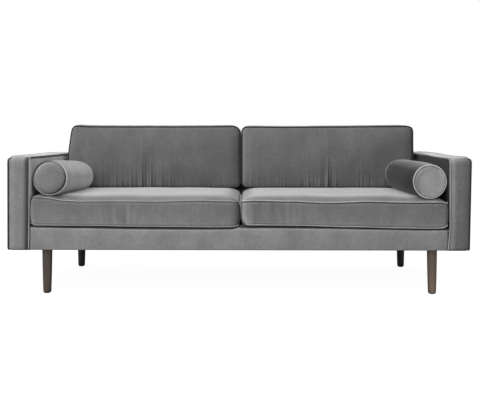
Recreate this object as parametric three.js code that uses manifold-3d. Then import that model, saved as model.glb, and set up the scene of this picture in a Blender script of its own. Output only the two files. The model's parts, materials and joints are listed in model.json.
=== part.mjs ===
// A three-seat tuxedo sofa: arms and back of one height, two boxed seat cushions, two boxed back
// cushions, two bolsters and four tapered legs, over a timber carcass with woven webbing.
// Millimetres, -Y to the front, +Z up. Left (-X) and right (+X) are as seen from the front. The
// origin is on the floor, under the middle of the sofa.
import * as THREE from "three";
import { mergeVertices } from "three/addons/utils/BufferGeometryUtils.js";
import Module from "manifold-3d";

const wasm = await Module();
wasm.setup();

// Driving dimensions
const overallWidth = 2200; // over the arm piping
const overallDepth = 870; // over the arm piping
const armHeight = 670; // floor to the piping on top of the arms and the back
const baseHeight = 220; // floor to the underside of the upholstered box
const armWidth = 98; // between an arm's two side faces
const backTopWidth = 96; // across the top of the back
const backRake = THREE.MathUtils.degToRad(8); // lean of the inner back
const fitGap = 0.3; // between pieces that bear on each other
const settlingReach = 60; // how far above its support a loose cushion starts
const settlingSteps = 8;
const cutOverrun = 2; // how far a cutter passes the face that it opens
const weldTolerance = 0.001; // points closer than this are one point

// Upholstery
const pipingRadius = 4;
const pipingSides = 8;
const pipingSink = 2.3; // how deep the piping's centre lies inside the corner that it covers
const coverThickness = 14; // fabric with its wadding, over the timber
const coverEdgeRadius = 8;
const armFrontRadius = 25; // where the front strip turns over the top of the arm
const armRearRadius = 16;
const backTopRadius = 12;
const railSetback = 8; // front panel behind the arms' front faces
const railPanelThickness = 10;
const railPanelRadius = 10;
const railFootRadius = 4;
const railLipDepth = 90;
const deckThickness = 20;
const dustCoverThickness = 1.2;
const dustCoverInset = 20;
const dustCoverHoleRadius = 5.5;

// Timber carcass
const railHeight = 90;
const railThickness = 28;
const postThickness = 45;
const armTopRailHeight = 30;
const armBottomRailHeight = 70;
const backTopRailHeight = 32;
const backPostThickness = 40;
const boardThickness = 3; // hardboard behind the padding
const boardMargin = 12;
const tenonLength = 14;
const tenonShoulder = 10; // timber left on each side of a tenon
const blockWidth = 104;
const blockHeight = 46;
const webbingRailBack = 12; // webbing rail's rear face behind the foot of the inner back

// Webbing
const strapThickness = 1.6;
const strapWidth = 80;
const strapBite = 0.1; // how far crossing straps press into each other
const strapBearing = 22; // length of a strap's end on its rail
const lengthwiseStraps = 7;
const crossStraps = 3;

// Legs and fasteners
const legTopRadius = 23.5;
const legFootRadius = 19;
const legFootRound = 3;
const legSides = 24;
const legFromFront = 87; // leg's axis behind the front of the sofa
const legFromRear = 58; // leg's axis ahead of the rear of the sofa
const legFromArm = 64; // leg's axis inside the arm's inner face
const legBoltDepth = 34;
const glideRadius = 15;
const glideHeight = 4;
const glideRound = 1;
const boltRadius = 4;
const boltClearance = 0.5;
const boltSides = 10;
const boltPoint = 1.5;
const teeNutRadius = 11;
const teeNutFlange = 1.5;
const teeNutBarrelRadius = 6;
const teeNutBarrelLength = 11;
const armBoltHeadRadius = 11;
const armBoltHeadHeight = 4;
const armBoltHeight = 34; // above the underside of the rails
const armBoltReach = 48; // into the arm's bottom rail
const armBoltFromFront = 190;
const armBoltFromRear = 215;

// Cushions
const seatEdgeHeight = 121; // over the bottom and top piping
const seatCrown = 27; // above the top piping
const seatSetback = 7; // cushion's front piping behind the arms' front faces
const seatRearGap = 4; // between the cushion and the foot of the inner back
const cushionSideGap = 3; // beside the arm's inner piping
const cushionMiddleGap = 4; // between the two cushions of a pair
const backCushionHeight = 347;
const backCushionThickness = 152;
const backCushionCrown = 24;
const backCushionSideGap = 23;
const backCushionRearGap = 5; // clear of the piping along the top of the back
const cushionCornerRadius = 26;
const cushionDrawIn = 5; // how far a side is pulled in between its corners
const cushionBorderSwell = 3; // how far the border stands out between its pipings
const cushionSeamDepth = 2; // groove beside the piping
const crownPower = 3.2; // flatter in the middle and steeper at the edge for a higher power
const cushionSideSteps = 6;
const cushionArcSteps = 3;
const bolsterRadius = 88;
const bolsterEndRadius = 84;
const bolsterEndDome = 8;
const bolsterSides = 24;
const bolsterSwellPower = 4;
const bolsterFromFront = 16; // end dome behind the arms' front faces
const bolsterBackGap = 9; // between the other end and the back cushion's border
const bolsterArmGap = 2.5;
const bolsterToeIn = THREE.MathUtils.degToRad(2.2); // rear ends turned toward the middle

// Lines that several pieces share
const pipingProud = pipingRadius - pipingSink;
const frontFace = -overallDepth / 2 + pipingProud;
const rearFace = overallDepth / 2 - pipingProud;
const topFace = armHeight - pipingProud;
const armOuterFace = overallWidth / 2 - pipingProud;
const armInnerFace = armOuterFace - armWidth;
const boxHalfWidth = armInnerFace - pipingProud - fitGap;
const railTop = baseHeight + railHeight;
const railPanelFace = frontFace + railSetback;
const frontRailFace = railPanelFace + railPanelThickness + fitGap;
const rearRailFace = rearFace - coverThickness - fitGap;
const sideRailInner = boxHalfWidth - railThickness;
const webbingMiddle = railTop + fitGap + strapThickness;
const deckBottom = webbingMiddle + strapThickness + fitGap;
const deckTop = deckBottom + deckThickness;
const legTop = baseHeight - dustCoverThickness - 2 * fitGap;
const legX = armInnerFace - legFromArm;
const frontLegY = -overallDepth / 2 + legFromFront;
const rearLegY = overallDepth / 2 - legFromRear;
const blockTop = baseHeight + blockHeight;
const coverInset = coverThickness + fitGap;

// Y of the raked inner back's face, moved forward (negative) or rearward by an offset across it
function backFaceY(z, offset = 0) {
  const topY = rearFace - backTopWidth;
  return topY - (topFace - z) * Math.tan(backRake) + offset / Math.cos(backRake);
}

const webbingRailRear = backFaceY(railTop) + webbingRailBack;
const webbingRailFront = webbingRailRear - railThickness;

const sides = [
  { name: "left", sign: -1 },
  { name: "right", sign: 1 },
];

// Materials
function finish(color, roughness, metalness = 0) {
  return new THREE.MeshStandardMaterial({ color, roughness, metalness });
}
const velvet = finish("#777777", 0.9);
const timber = finish("#c9a878", 0.7);
const hardboard = finish("#7a5a3c", 0.8);
const stainedWood = finish("#4b3d33", 0.55);
const elastic = finish("#26221f", 0.9);
const blackCloth = finish("#161616", 0.95);
const zincSteel = finish("#b4b8bc", 0.35, 1);
const nylon = finish("#1b1b1b", 0.6);

const sofa = new THREE.Group();

function addPiece(name, geometry, material) {
  const mesh = new THREE.Mesh(geometry, material);
  mesh.name = name;
  sofa.add(mesh);
  return mesh;
}

// A closed geometry as a solid for cutting and joining, and the way back
function solidOf(geometry) {
  const bare = geometry.index ? geometry.toNonIndexed() : geometry.clone();
  bare.deleteAttribute("normal");
  bare.deleteAttribute("uv");
  const merged = mergeVertices(bare, weldTolerance);
  return new wasm.Manifold(
    new wasm.Mesh({
      numProp: 3,
      vertProperties: new Float32Array(merged.attributes.position.array),
      triVerts: new Uint32Array(merged.index.array),
    }),
  );
}

function geometryOf(solid) {
  const mesh = solid.getMesh();
  const geometry = new THREE.BufferGeometry();
  geometry.setAttribute("position", new THREE.BufferAttribute(mesh.vertProperties, 3));
  geometry.setIndex(new THREE.BufferAttribute(mesh.triVerts, 1));
  geometry.computeVertexNormals();
  return geometry;
}

function joined(base, ...others) {
  return geometryOf(others.reduce((sum, other) => sum.add(solidOf(other)), solidOf(base)));
}

function cutBy(base, ...cutters) {
  return geometryOf(cutters.reduce((rest, cutter) => rest.subtract(solidOf(cutter)), solidOf(base)));
}

// Lowers a loose piece along a direction until it rests on its support
function restOn(support, geometry, direction) {
  const supportSolid = solidOf(support);
  for (let i = 0; i < settlingSteps; i++) {
    const slack = solidOf(geometry).minGap(supportSolid, settlingReach) - fitGap;
    geometry.translate(direction.x * slack, direction.y * slack, direction.z * slack);
  }
  return geometry;
}

// A squared board between two limits on each axis; grow makes the cutter that clears it
function board([x0, x1], [y0, y1], [z0, z1], grow = 0) {
  const geometry = new THREE.BoxGeometry(x1 - x0 + 2 * grow, y1 - y0 + 2 * grow, z1 - z0 + 2 * grow);
  return geometry.translate((x0 + x1) / 2, (y0 + y1) / 2, (z0 + z1) / 2);
}

// Limits on one axis, mirrored onto the side with that sign
function mirrored(sign, inner, outer) {
  return sign < 0 ? [-outer, -inner] : [inner, outer];
}

// Corners {a, b, r} of an outline turned into points, with an arc of radius r at each
function filleted(corners, closed = true, arcSteps = 5) {
  const points = [];
  corners.forEach((corner, i) => {
    const here = new THREE.Vector2(corner.a, corner.b);
    const isEnd = !closed && (i === 0 || i === corners.length - 1);
    if (!corner.r || isEnd) {
      points.push(here);
      return;
    }
    const before = corners[(i + corners.length - 1) % corners.length];
    const after = corners[(i + 1) % corners.length];
    const toBefore = new THREE.Vector2(before.a, before.b).sub(here).normalize();
    const toAfter = new THREE.Vector2(after.a, after.b).sub(here).normalize();
    const halfAngle = Math.acos(THREE.MathUtils.clamp(toBefore.dot(toAfter), -1, 1)) / 2;
    const bisector = toBefore.clone().add(toAfter).normalize();
    const centre = here.clone().addScaledVector(bisector, corner.r / Math.sin(halfAngle));
    const start = here.clone().addScaledVector(toBefore, corner.r / Math.tan(halfAngle)).sub(centre);
    const turn = Math.sign(toAfter.cross(toBefore)) * (Math.PI - 2 * halfAngle);
    for (let k = 0; k <= arcSteps; k++) {
      points.push(start.clone().rotateAround(new THREE.Vector2(), (turn * k) / arcSteps).add(centre));
    }
  });
  return points;
}

// An outline in Y and Z, extruded along X; bevel rounds both of its edges inward
function prismAlongX(outline, [x0, x1], bevel = 0) {
  const geometry = new THREE.ExtrudeGeometry(new THREE.Shape(outline), {
    depth: x1 - x0 - 2 * bevel,
    bevelEnabled: bevel > 0,
    bevelThickness: bevel,
    bevelSize: bevel,
    bevelOffset: -bevel,
    bevelSegments: 2,
  });
  const axes = new THREE.Matrix4().makeBasis(
    new THREE.Vector3(0, 1, 0),
    new THREE.Vector3(0, 0, 1),
    new THREE.Vector3(1, 0, 0),
  );
  return geometry.translate(0, 0, bevel).applyMatrix4(axes).translate(x0, 0, 0);
}

// An outline in X and Z, extruded along Y
function prismAlongY(outline, [y0, y1]) {
  const geometry = new THREE.ExtrudeGeometry(new THREE.Shape(outline), {
    depth: y1 - y0,
    bevelEnabled: false,
  });
  return geometry.rotateX(Math.PI / 2).translate(0, y1, 0);
}

// A profile of [radius, height] pairs, revolved about Z
function turned(profile, segments) {
  const points = profile.map(([radius, height]) => new THREE.Vector2(radius, height));
  return new THREE.LatheGeometry(points, segments).rotateX(Math.PI / 2);
}

// A route whose steps fall on its own points
class Route extends THREE.Curve {
  constructor(points) {
    super();
    this.points = points;
  }
  getPoint(t) {
    const place = t * (this.points.length - 1);
    const i = Math.min(Math.floor(place), this.points.length - 2);
    return this.points[i].clone().lerp(this.points[i + 1], place - i);
  }
  getPointAt(t) {
    return this.getPoint(t);
  }
  getTangentAt(t) {
    const reach = 0.5 / (this.points.length - 1);
    const from = this.getPoint(Math.max(0, t - reach));
    return this.getPoint(Math.min(1, t + reach)).sub(from).normalize();
  }
}

// Piping along a route of points
function piping(points) {
  const section = new THREE.Shape(
    Array.from({ length: pipingSides }, (_, i) => {
      const angle = (i * 2 * Math.PI) / pipingSides;
      return new THREE.Vector2(Math.cos(angle), Math.sin(angle)).multiplyScalar(pipingRadius);
    }),
  );
  return new THREE.ExtrudeGeometry(section, {
    steps: points.length - 1,
    extrudePath: new Route(points),
  });
}

// Seat box: rails, webbing rail, centre rail and corner blocks
function seatBox() {
  const railZ = [baseHeight, railTop];
  const frontRailY = [frontRailFace, frontRailFace + railThickness];
  const rearRailY = [rearRailFace - railThickness, rearRailFace];
  const webbingRailY = [webbingRailFront, webbingRailRear];
  const fullX = [-boxHalfWidth, boxHalfWidth];
  const centreX = [-railThickness / 2, railThickness / 2];
  const tenonZ = [baseHeight + tenonShoulder, railTop - tenonShoulder];
  const tenonX = [centreX[0] + tenonShoulder, centreX[1] - tenonShoulder];
  const frontTenon = [tenonX, [frontRailY[1] - tenonLength, frontRailY[1]], tenonZ];
  const rearTenon = [tenonX, [webbingRailY[0], webbingRailY[0] + tenonLength], tenonZ];
  const centreY = [frontRailY[1] + fitGap, webbingRailY[0] - fitGap];
  const crossX = [-sideRailInner + fitGap, sideRailInner - fitGap];

  addPiece("front_rail", cutBy(board(fullX, frontRailY, railZ), board(...frontTenon, fitGap)), timber);
  addPiece("rear_rail", board(fullX, rearRailY, railZ), timber);
  addPiece("webbing_rail", cutBy(board(crossX, webbingRailY, railZ), board(...rearTenon, fitGap)), timber);
  const reach = (limits, extra) => [limits[0], limits[1] + extra];
  const back = (limits, extra) => [limits[0] - extra, limits[1]];
  addPiece(
    "centre_rail",
    joined(
      board(centreX, centreY, railZ),
      board(tenonX, reach(frontTenon[1], tenonLength), tenonZ),
      board(tenonX, back(rearTenon[1], tenonLength), tenonZ),
    ),
    timber,
  );

  for (const { name, sign } of sides) {
    const sideX = mirrored(sign, sideRailInner, boxHalfWidth);
    const sideY = [frontRailY[1] + fitGap, rearRailY[0] - fitGap];
    const holes = armBoltPlaces().map((y) =>
      crossHole(sign, y, sideRailInner - cutOverrun, boxHalfWidth + cutOverrun),
    );
    addPiece(`${name}_side_rail`, cutBy(board(sideX, sideY, railZ), ...holes), timber);

    const blockX = mirrored(sign, sideRailInner - fitGap - blockWidth, sideRailInner - fitGap);
    const blockZ = [baseHeight, blockTop];
    const frontBlockY = [frontRailY[1] + fitGap, frontRailY[1] + fitGap + blockWidth];
    const rearBlockY = [webbingRailRear + fitGap, rearRailY[0] - fitGap];
    for (const [end, limits, y] of [
      ["front", frontBlockY, frontLegY],
      ["rear", rearBlockY, rearLegY],
    ]) {
      const bore = legBore(sign, y);
      addPiece(`${name}_${end}_corner_block`, cutBy(board(blockX, limits, blockZ), ...bore), timber);
    }
  }
}

// The bore for a leg's bolt, and the wider one for the nut's barrel
function legBore(sign, y) {
  const boltBore = new THREE.CylinderGeometry(
    boltRadius + boltClearance,
    boltRadius + boltClearance,
    blockHeight + 2 * cutOverrun,
    boltSides,
  );
  const barrelDepth = teeNutBarrelLength + fitGap + cutOverrun;
  const barrelRadius = teeNutBarrelRadius + boltClearance;
  const barrelBore = new THREE.CylinderGeometry(barrelRadius, barrelRadius, barrelDepth, boltSides);
  boltBore.rotateX(Math.PI / 2).translate(sign * legX, y, baseHeight + blockHeight / 2);
  barrelBore.rotateX(Math.PI / 2).translate(sign * legX, y, blockTop + cutOverrun - barrelDepth / 2);
  return [boltBore, barrelBore];
}

function armBoltPlaces() {
  return [-overallDepth / 2 + armBoltFromFront, overallDepth / 2 - armBoltFromRear];
}

// A clearance hole along X for an arm bolt, between two distances from the middle
function crossHole(sign, y, inner, outer) {
  const hole = new THREE.CylinderGeometry(
    boltRadius + boltClearance,
    boltRadius + boltClearance,
    outer - inner,
    boltSides,
  );
  return hole.rotateZ(Math.PI / 2).translate((sign * (inner + outer)) / 2, y, baseHeight + armBoltHeight);
}

// Arm frame: two posts tenoned into a top rail, with a bottom rail between them and an inner board
function armFrame({ name, sign }) {
  const boardX = [armInnerFace + coverInset, armInnerFace + coverInset + boardThickness];
  const timberX = mirrored(sign, boardX[1] + fitGap, armOuterFace - coverInset);
  const top = topFace - coverInset;
  const postTop = top - armTopRailHeight;
  const frontY = [frontFace + coverInset, frontFace + coverInset + postThickness];
  const rearY = [rearFace - coverInset - postThickness, rearFace - coverInset];
  const tenonX = [timberX[0] + tenonShoulder, timberX[1] - tenonShoulder];
  const tenons = [frontY, rearY].map((y) => [
    tenonX,
    [y[0] + tenonShoulder, y[1] - tenonShoulder],
    [postTop, postTop + tenonLength],
  ]);

  [["front", frontY], ["rear", rearY]].forEach(([end, y], i) => {
    const [x, tenonY, z] = tenons[i];
    const post = joined(
      board(timberX, y, [baseHeight, postTop - fitGap]),
      board(x, tenonY, [z[0] - tenonLength, z[1]]),
    );
    addPiece(`${name}_arm_${end}_post`, post, timber);
  });
  const topRail = board(timberX, [frontY[0], rearY[1]], [postTop, top]);
  addPiece(`${name}_arm_top_rail`, cutBy(topRail, ...tenons.map((t) => board(...t, fitGap))), timber);

  const bottomY = [frontY[1] + fitGap, rearY[0] - fitGap];
  const bottomRail = board(timberX, bottomY, [baseHeight, baseHeight + armBottomRailHeight]);
  const holeEnd = boardX[1] + fitGap + armBoltReach + boltClearance;
  const holes = armBoltPlaces().map((y) => crossHole(sign, y, boardX[0], holeEnd));
  addPiece(`${name}_arm_bottom_rail`, cutBy(bottomRail, ...holes), timber);

  const boardY = [frontY[0] + boardMargin, rearY[1] - boardMargin];
  const boardZ = [baseHeight + armBottomRailHeight - boardMargin, top - boardMargin];
  addPiece(`${name}_arm_board`, board(mirrored(sign, ...boardX), boardY, boardZ), hardboard);
}

// Back frame: three raked posts on the seat box, a top rail over them and a raked board
function backFrame() {
  const frontOffset = coverInset + boardThickness + fitGap;
  const top = topFace - coverInset;
  const postTop = top - backTopRailHeight;
  const railRear = rearRailFace;
  const tenonY = [backFaceY(top, frontOffset) + tenonShoulder, railRear - tenonShoulder];
  const tenonHalf = backPostThickness / 2 - tenonShoulder;
  const endPostX = sideRailInner - fitGap - backPostThickness / 2;
  const posts = [
    ["left", -endPostX, blockTop + fitGap + teeNutFlange + fitGap],
    ["centre", 0, baseHeight],
    ["right", endPostX, blockTop + fitGap + teeNutFlange + fitGap],
  ];
  const lapY = rearRailFace - railThickness - fitGap;
  const footY = backFaceY(railTop, frontOffset) + webbingRailBack;

  const mortises = [];
  for (const [name, x, foot] of posts) {
    const outline = [
      [footY, foot],
      [lapY, foot],
      [lapY, railTop + fitGap],
      [railRear, railTop + fitGap],
      [railRear, postTop - fitGap],
      [backFaceY(postTop - fitGap, frontOffset), postTop - fitGap],
      [backFaceY(deckTop, frontOffset), deckTop],
      [footY, deckTop],
    ].map(([a, b]) => new THREE.Vector2(a, b));
    const body = prismAlongX(outline, [x - backPostThickness / 2, x + backPostThickness / 2]);
    const tenonX = [x - tenonHalf, x + tenonHalf];
    const tenonZ = [postTop, postTop + tenonLength];
    mortises.push(board(tenonX, tenonY, tenonZ, fitGap));
    const tenon = board(tenonX, tenonY, [tenonZ[0] - tenonLength, tenonZ[1]]);
    addPiece(`back_${name}_post`, joined(body, tenon), timber);
  }

  const railOutline = [
    [railRear, postTop],
    [railRear, top],
    [backFaceY(top, frontOffset), top],
    [backFaceY(postTop, frontOffset), postTop],
  ].map(([a, b]) => new THREE.Vector2(a, b));
  const railX = [-boxHalfWidth, boxHalfWidth];
  addPiece("back_top_rail", cutBy(prismAlongX(railOutline, railX), ...mortises), timber);

  const boardZ = [deckTop + boardMargin, top - boardMargin];
  const boardOutline = [
    [backFaceY(boardZ[0], coverInset), boardZ[0]],
    [backFaceY(boardZ[0], coverInset + boardThickness), boardZ[0]],
    [backFaceY(boardZ[1], coverInset + boardThickness), boardZ[1]],
    [backFaceY(boardZ[1], coverInset), boardZ[1]],
  ].map(([a, b]) => new THREE.Vector2(a, b));
  addPiece("back_board", prismAlongX(boardOutline, railX), hardboard);
}

// A strap woven up and down along its length: [place, level] pairs, thickened and extruded
function strapOutline(course) {
  const half = strapThickness / 2;
  const upper = course.map(([a, level]) => new THREE.Vector2(a, level + half));
  const lower = course.map(([a, level]) => new THREE.Vector2(a, level - half));
  return [...lower, ...upper.reverse()];
}

// A strap's course from its bearing on one rail, over and under each crossing strap, to the other
function strapCourse([start, end], crossings, firstOver) {
  const lift = (strapThickness - strapBite) / 2;
  const low = webbingMiddle - strapThickness / 2;
  const course = [[start, low], [start + strapBearing, low]];
  crossings.forEach((place, i) => {
    const over = (i % 2 === 0) === firstOver;
    const level = webbingMiddle + (over ? lift : -lift);
    course.push([place - strapWidth / 2, level], [place + strapWidth / 2, level]);
  });
  course.push([end - strapBearing, low], [end, low]);
  return course;
}

function evenly(count, [from, to]) {
  const pitch = (to - from) / count;
  return Array.from({ length: count }, (_, i) => from + pitch * (i + 0.5));
}

// Half of the seat's webbing, woven between the side rail and the centre rail
function seatWebbing({ name, sign }) {
  const x = mirrored(sign, fitGap, sideRailInner + strapBearing);
  const y = [frontRailFace + railThickness - strapBearing, webbingRailFront + strapBearing];
  const clearX = mirrored(sign, railThickness / 2, sideRailInner);
  const clearY = [frontRailFace + railThickness, webbingRailFront];
  const lengthwise = evenly(lengthwiseStraps, clearX);
  const cross = evenly(crossStraps, clearY);
  const straps = [];
  lengthwise.forEach((place, i) => {
    const outline = strapOutline(strapCourse(y, cross, i % 2 === 0));
    straps.push(prismAlongX(outline, [place - strapWidth / 2, place + strapWidth / 2]));
  });
  cross.forEach((place, i) => {
    const outline = strapOutline(strapCourse(x, lengthwise, i % 2 !== 0));
    straps.push(prismAlongY(outline, [place - strapWidth / 2, place + strapWidth / 2]));
  });
  addPiece(`${name}_seat_webbing`, joined(...straps), elastic);
}

// Arm cover: a padded shell, open underneath, with piping on both edges of its front and top strip
function armCover({ name, sign }) {
  const outline = filleted([
    { a: frontFace, b: baseHeight },
    { a: rearFace, b: baseHeight },
    { a: rearFace, b: topFace, r: armRearRadius },
    { a: frontFace, b: topFace, r: armFrontRadius },
  ]);
  const armX = mirrored(sign, armInnerFace, armOuterFace);
  const hollow = board(
    [armX[0] + coverThickness, armX[1] - coverThickness],
    [frontFace + coverThickness, rearFace - coverThickness],
    [baseHeight - cutOverrun, topFace - coverThickness],
  );
  const holes = armBoltPlaces().map((y) =>
    crossHole(sign, y, armInnerFace - cutOverrun, armInnerFace + coverThickness + cutOverrun),
  );
  const seam = filleted(
    [
      { a: frontFace + pipingSink, b: baseHeight },
      { a: frontFace + pipingSink, b: topFace - pipingSink, r: armFrontRadius - pipingSink },
      { a: rearFace - pipingSink, b: topFace - pipingSink, r: armRearRadius - pipingSink },
      { a: rearFace - pipingSink, b: baseHeight },
    ],
    false,
  );
  const welts = [armX[0] + pipingSink, armX[1] - pipingSink].map((x) =>
    piping(seam.map((p) => new THREE.Vector3(x, p.x, p.y))),
  );
  const shell = cutBy(prismAlongX(outline, armX, coverEdgeRadius), hollow, ...holes);
  addPiece(`${name}_arm_cover`, joined(shell, ...welts), velvet);
}

// Back cover: outside back, top strip and raked inner back as one shell between the arms
function backCover() {
  const innerTop = topFace - coverThickness;
  const outline = filleted([
    { a: rearFace, b: baseHeight },
    { a: rearFace, b: topFace, r: backTopRadius },
    { a: backFaceY(topFace), b: topFace, r: coverEdgeRadius },
    { a: backFaceY(deckBottom), b: deckBottom },
    { a: backFaceY(deckBottom, coverThickness), b: deckBottom },
    { a: backFaceY(innerTop, coverThickness), b: innerTop },
    { a: rearFace - coverThickness, b: innerTop },
    { a: rearFace - coverThickness, b: baseHeight },
  ]);
  const x = [-boxHalfWidth, boxHalfWidth];
  const seams = [rearFace - pipingSink, backFaceY(topFace) + pipingSink].map((y) =>
    piping(x.map((end) => new THREE.Vector3(end, y, topFace - pipingSink))),
  );
  addPiece("back_cover", joined(prismAlongX(outline, x), ...seams), velvet);
}

// Front rail cover, seat deck and dust cover
function seatCovers() {
  const x = [-boxHalfWidth, boxHalfWidth];
  const lipRear = railPanelFace + railLipDepth;
  const panel = filleted([
    { a: railPanelFace, b: baseHeight, r: railFootRadius },
    { a: railPanelFace + railPanelThickness, b: baseHeight },
    { a: railPanelFace + railPanelThickness, b: deckBottom },
    { a: lipRear, b: deckBottom },
    { a: lipRear, b: deckTop },
    { a: railPanelFace, b: deckTop, r: railPanelRadius },
  ]);
  addPiece("front_rail_cover", prismAlongX(panel, x), velvet);

  const deck = [
    [lipRear + fitGap, deckBottom],
    [backFaceY(deckBottom) - fitGap, deckBottom],
    [backFaceY(deckTop) - fitGap, deckTop],
    [lipRear + fitGap, deckTop],
  ].map(([a, b]) => new THREE.Vector2(a, b));
  addPiece("seat_deck", prismAlongX(deck, x), blackCloth);

  const halfX = overallWidth / 2 - dustCoverInset;
  const halfY = overallDepth / 2 - dustCoverInset;
  const sheet = new THREE.Shape(
    [[-halfX, -halfY], [halfX, -halfY], [halfX, halfY], [-halfX, halfY]].map(
      ([a, b]) => new THREE.Vector2(a, b),
    ),
  );
  for (const { sign } of sides) {
    for (const y of [frontLegY, rearLegY]) {
      const hole = new THREE.Path().absarc(sign * legX, y, dustCoverHoleRadius, 0, 2 * Math.PI);
      sheet.holes.push(hole);
    }
  }
  const dust = new THREE.ExtrudeGeometry(sheet, {
    depth: dustCoverThickness,
    bevelEnabled: false,
    curveSegments: boltSides / 2,
  });
  addPiece("dust_cover", dust.translate(0, 0, legTop + fitGap), blackCloth);
}

// A leg with its bolt, the nut in the corner block and the glide under the foot
function leg(sign, y, name) {
  const bolt = boltRadius + boltClearance;
  const foot = glideHeight + fitGap;
  const place = (geometry) => geometry.translate(sign * legX, y, 0);
  const legProfile = [
    [0, foot],
    [legFootRadius - legFootRound, foot],
    [legFootRadius, foot + legFootRound],
    [legTopRadius, legTop],
    [bolt, legTop],
    [bolt, legTop - legBoltDepth],
    [0, legTop - legBoltDepth],
  ];
  addPiece(`${name}_leg`, place(turned(legProfile, legSides)), stainedWood);

  const boltFoot = legTop - legBoltDepth + fitGap;
  const boltTop = blockTop + fitGap + teeNutFlange;
  const boltProfile = [
    [0, boltFoot],
    [boltRadius - boltPoint, boltFoot],
    [boltRadius, boltFoot + boltPoint],
    [boltRadius, boltTop],
    [0, boltTop],
  ];
  addPiece(`${name}_leg_bolt`, place(turned(boltProfile, boltSides)), zincSteel);

  const flange = blockTop + fitGap;
  const nutProfile = [
    [bolt, flange - teeNutBarrelLength],
    [teeNutBarrelRadius, flange - teeNutBarrelLength],
    [teeNutBarrelRadius, flange],
    [teeNutRadius, flange],
    [teeNutRadius, flange + teeNutFlange],
    [bolt, flange + teeNutFlange],
    [bolt, flange - teeNutBarrelLength],
  ];
  addPiece(`${name}_tee_nut`, place(turned(nutProfile, boltSides)), zincSteel);

  const glideProfile = [
    [0, 0],
    [glideRadius - glideRound, 0],
    [glideRadius, glideRound],
    [glideRadius, glideHeight],
    [0, glideHeight],
  ];
  addPiece(`${name}_glide`, place(turned(glideProfile, legSides)), nylon);
}

// A bolt through the side rail and the arm's inner face into the arm's bottom rail
function armBolt(sign, y, name) {
  const shank = armInnerFace + coverInset + boardThickness + fitGap + armBoltReach - sideRailInner;
  const profile = [
    [0, -armBoltHeadHeight],
    [armBoltHeadRadius - boltPoint, -armBoltHeadHeight],
    [armBoltHeadRadius, -fitGap],
    [boltRadius, -fitGap],
    [boltRadius, shank],
    [0, shank],
  ];
  const geometry = turned(profile, boltSides).rotateY((sign * Math.PI) / 2);
  addPiece(name, geometry.translate(sign * sideRailInner, y, baseHeight + armBoltHeight), zincSteel);
}

// Rise of a crowned face at shares of the way from its middle to its edges
function crownRise(crown, shareX, shareY) {
  const fall = (share) => 1 - Math.min(1, Math.abs(share)) ** crownPower;
  return crown * fall(shareX) * fall(shareY);
}

// A rounded rectangle, pulled in along each side between its corners. Pulls are for +x, +y, -x, -y.
function cushionRing(halfX, halfY, pulls) {
  const r = cushionCornerRadius;
  const points = [];
  for (let quarter = 0; quarter < 4; quarter++) {
    const [along, across] = quarter % 2 === 0 ? [halfY, halfX] : [halfX, halfY];
    const turn = (quarter * Math.PI) / 2;
    for (let i = 0; i < cushionSideSteps; i++) {
      const share = (2 * i) / cushionSideSteps - 1;
      const pull = pulls[quarter] * (1 - share * share);
      const place = new THREE.Vector2(across - pull, share * (along - r));
      points.push(place.rotateAround(new THREE.Vector2(), turn));
    }
    for (let i = 0; i < cushionArcSteps; i++) {
      const angle = (i / cushionArcSteps) * (Math.PI / 2);
      const corner = new THREE.Vector2(across - r + r * Math.cos(angle), along - r + r * Math.sin(angle));
      points.push(corner.rotateAround(new THREE.Vector2(), turn));
    }
  }
  return points;
}

// A boxed cushion on its flat side: a border between two pipings, and a crowned face over it
function boxedCushion({ width, length, edgeHeight, crown, pulls }) {
  const beadShares = [-0.7, 0, 0.7]; // along the half round of a piping
  const borderShares = [0.3, 0.7];
  const faceShares = [0.94, 0.82, 0.65, 0.43, 0.18];
  const levels = [];
  const bead = (middle) =>
    beadShares.forEach((share) => {
      const angle = (share * Math.PI) / 2;
      levels.push({
        inset: pipingRadius * (1 - Math.cos(angle)),
        z: middle + pipingRadius * Math.sin(angle),
      });
    });
  const seamInset = pipingRadius + cushionSeamDepth;
  const seamLow = 2 * pipingRadius;
  const seamHigh = edgeHeight - 2 * pipingRadius;
  levels.push({ inset: pipingRadius, z: 0 });
  bead(pipingRadius);
  levels.push({ inset: seamInset, z: seamLow });
  for (const share of borderShares) {
    const z = seamLow + share * (seamHigh - seamLow);
    levels.push({ inset: seamInset - cushionBorderSwell, z });
  }
  levels.push({ inset: seamInset, z: seamHigh });
  bead(edgeHeight - pipingRadius);
  levels.push({ inset: seamLow, z: edgeHeight - cushionSeamDepth });
  const rings = levels.map(({ inset, z }) =>
    cushionRing(width / 2 - inset, length / 2 - inset, pulls).map((p) => new THREE.Vector3(p.x, p.y, z)),
  );
  const faceOutline = cushionRing(width / 2, length / 2, pulls);
  for (const share of faceShares) {
    const ring = faceOutline.map((p) => {
      const rise = crownRise(crown, (2 * p.x * share) / width, (2 * p.y * share) / length);
      return new THREE.Vector3(p.x * share, p.y * share, edgeHeight + rise);
    });
    rings.push(ring);
  }
  return stackedRings(rings, new THREE.Vector3(), new THREE.Vector3(0, 0, edgeHeight + crown));
}

// Rings of equally many points, skinned from a point under the first to a point over the last
function stackedRings(rings, below, above) {
  const count = rings[0].length;
  const points = [below, ...rings.flat(), above];
  const top = points.length - 1;
  const index = [];
  for (let k = 0; k < count; k++) {
    const next = (k + 1) % count;
    index.push(0, 1 + next, 1 + k);
    for (let row = 0; row < rings.length - 1; row++) {
      const a = 1 + row * count + k;
      const b = 1 + row * count + next;
      index.push(a, b, b + count, a, b + count, a + count);
    }
    const last = top - count;
    index.push(last + k, last + next, top);
  }
  const geometry = new THREE.BufferGeometry().setFromPoints(points);
  geometry.setIndex(index);
  geometry.computeVertexNormals();
  return geometry;
}

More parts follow.
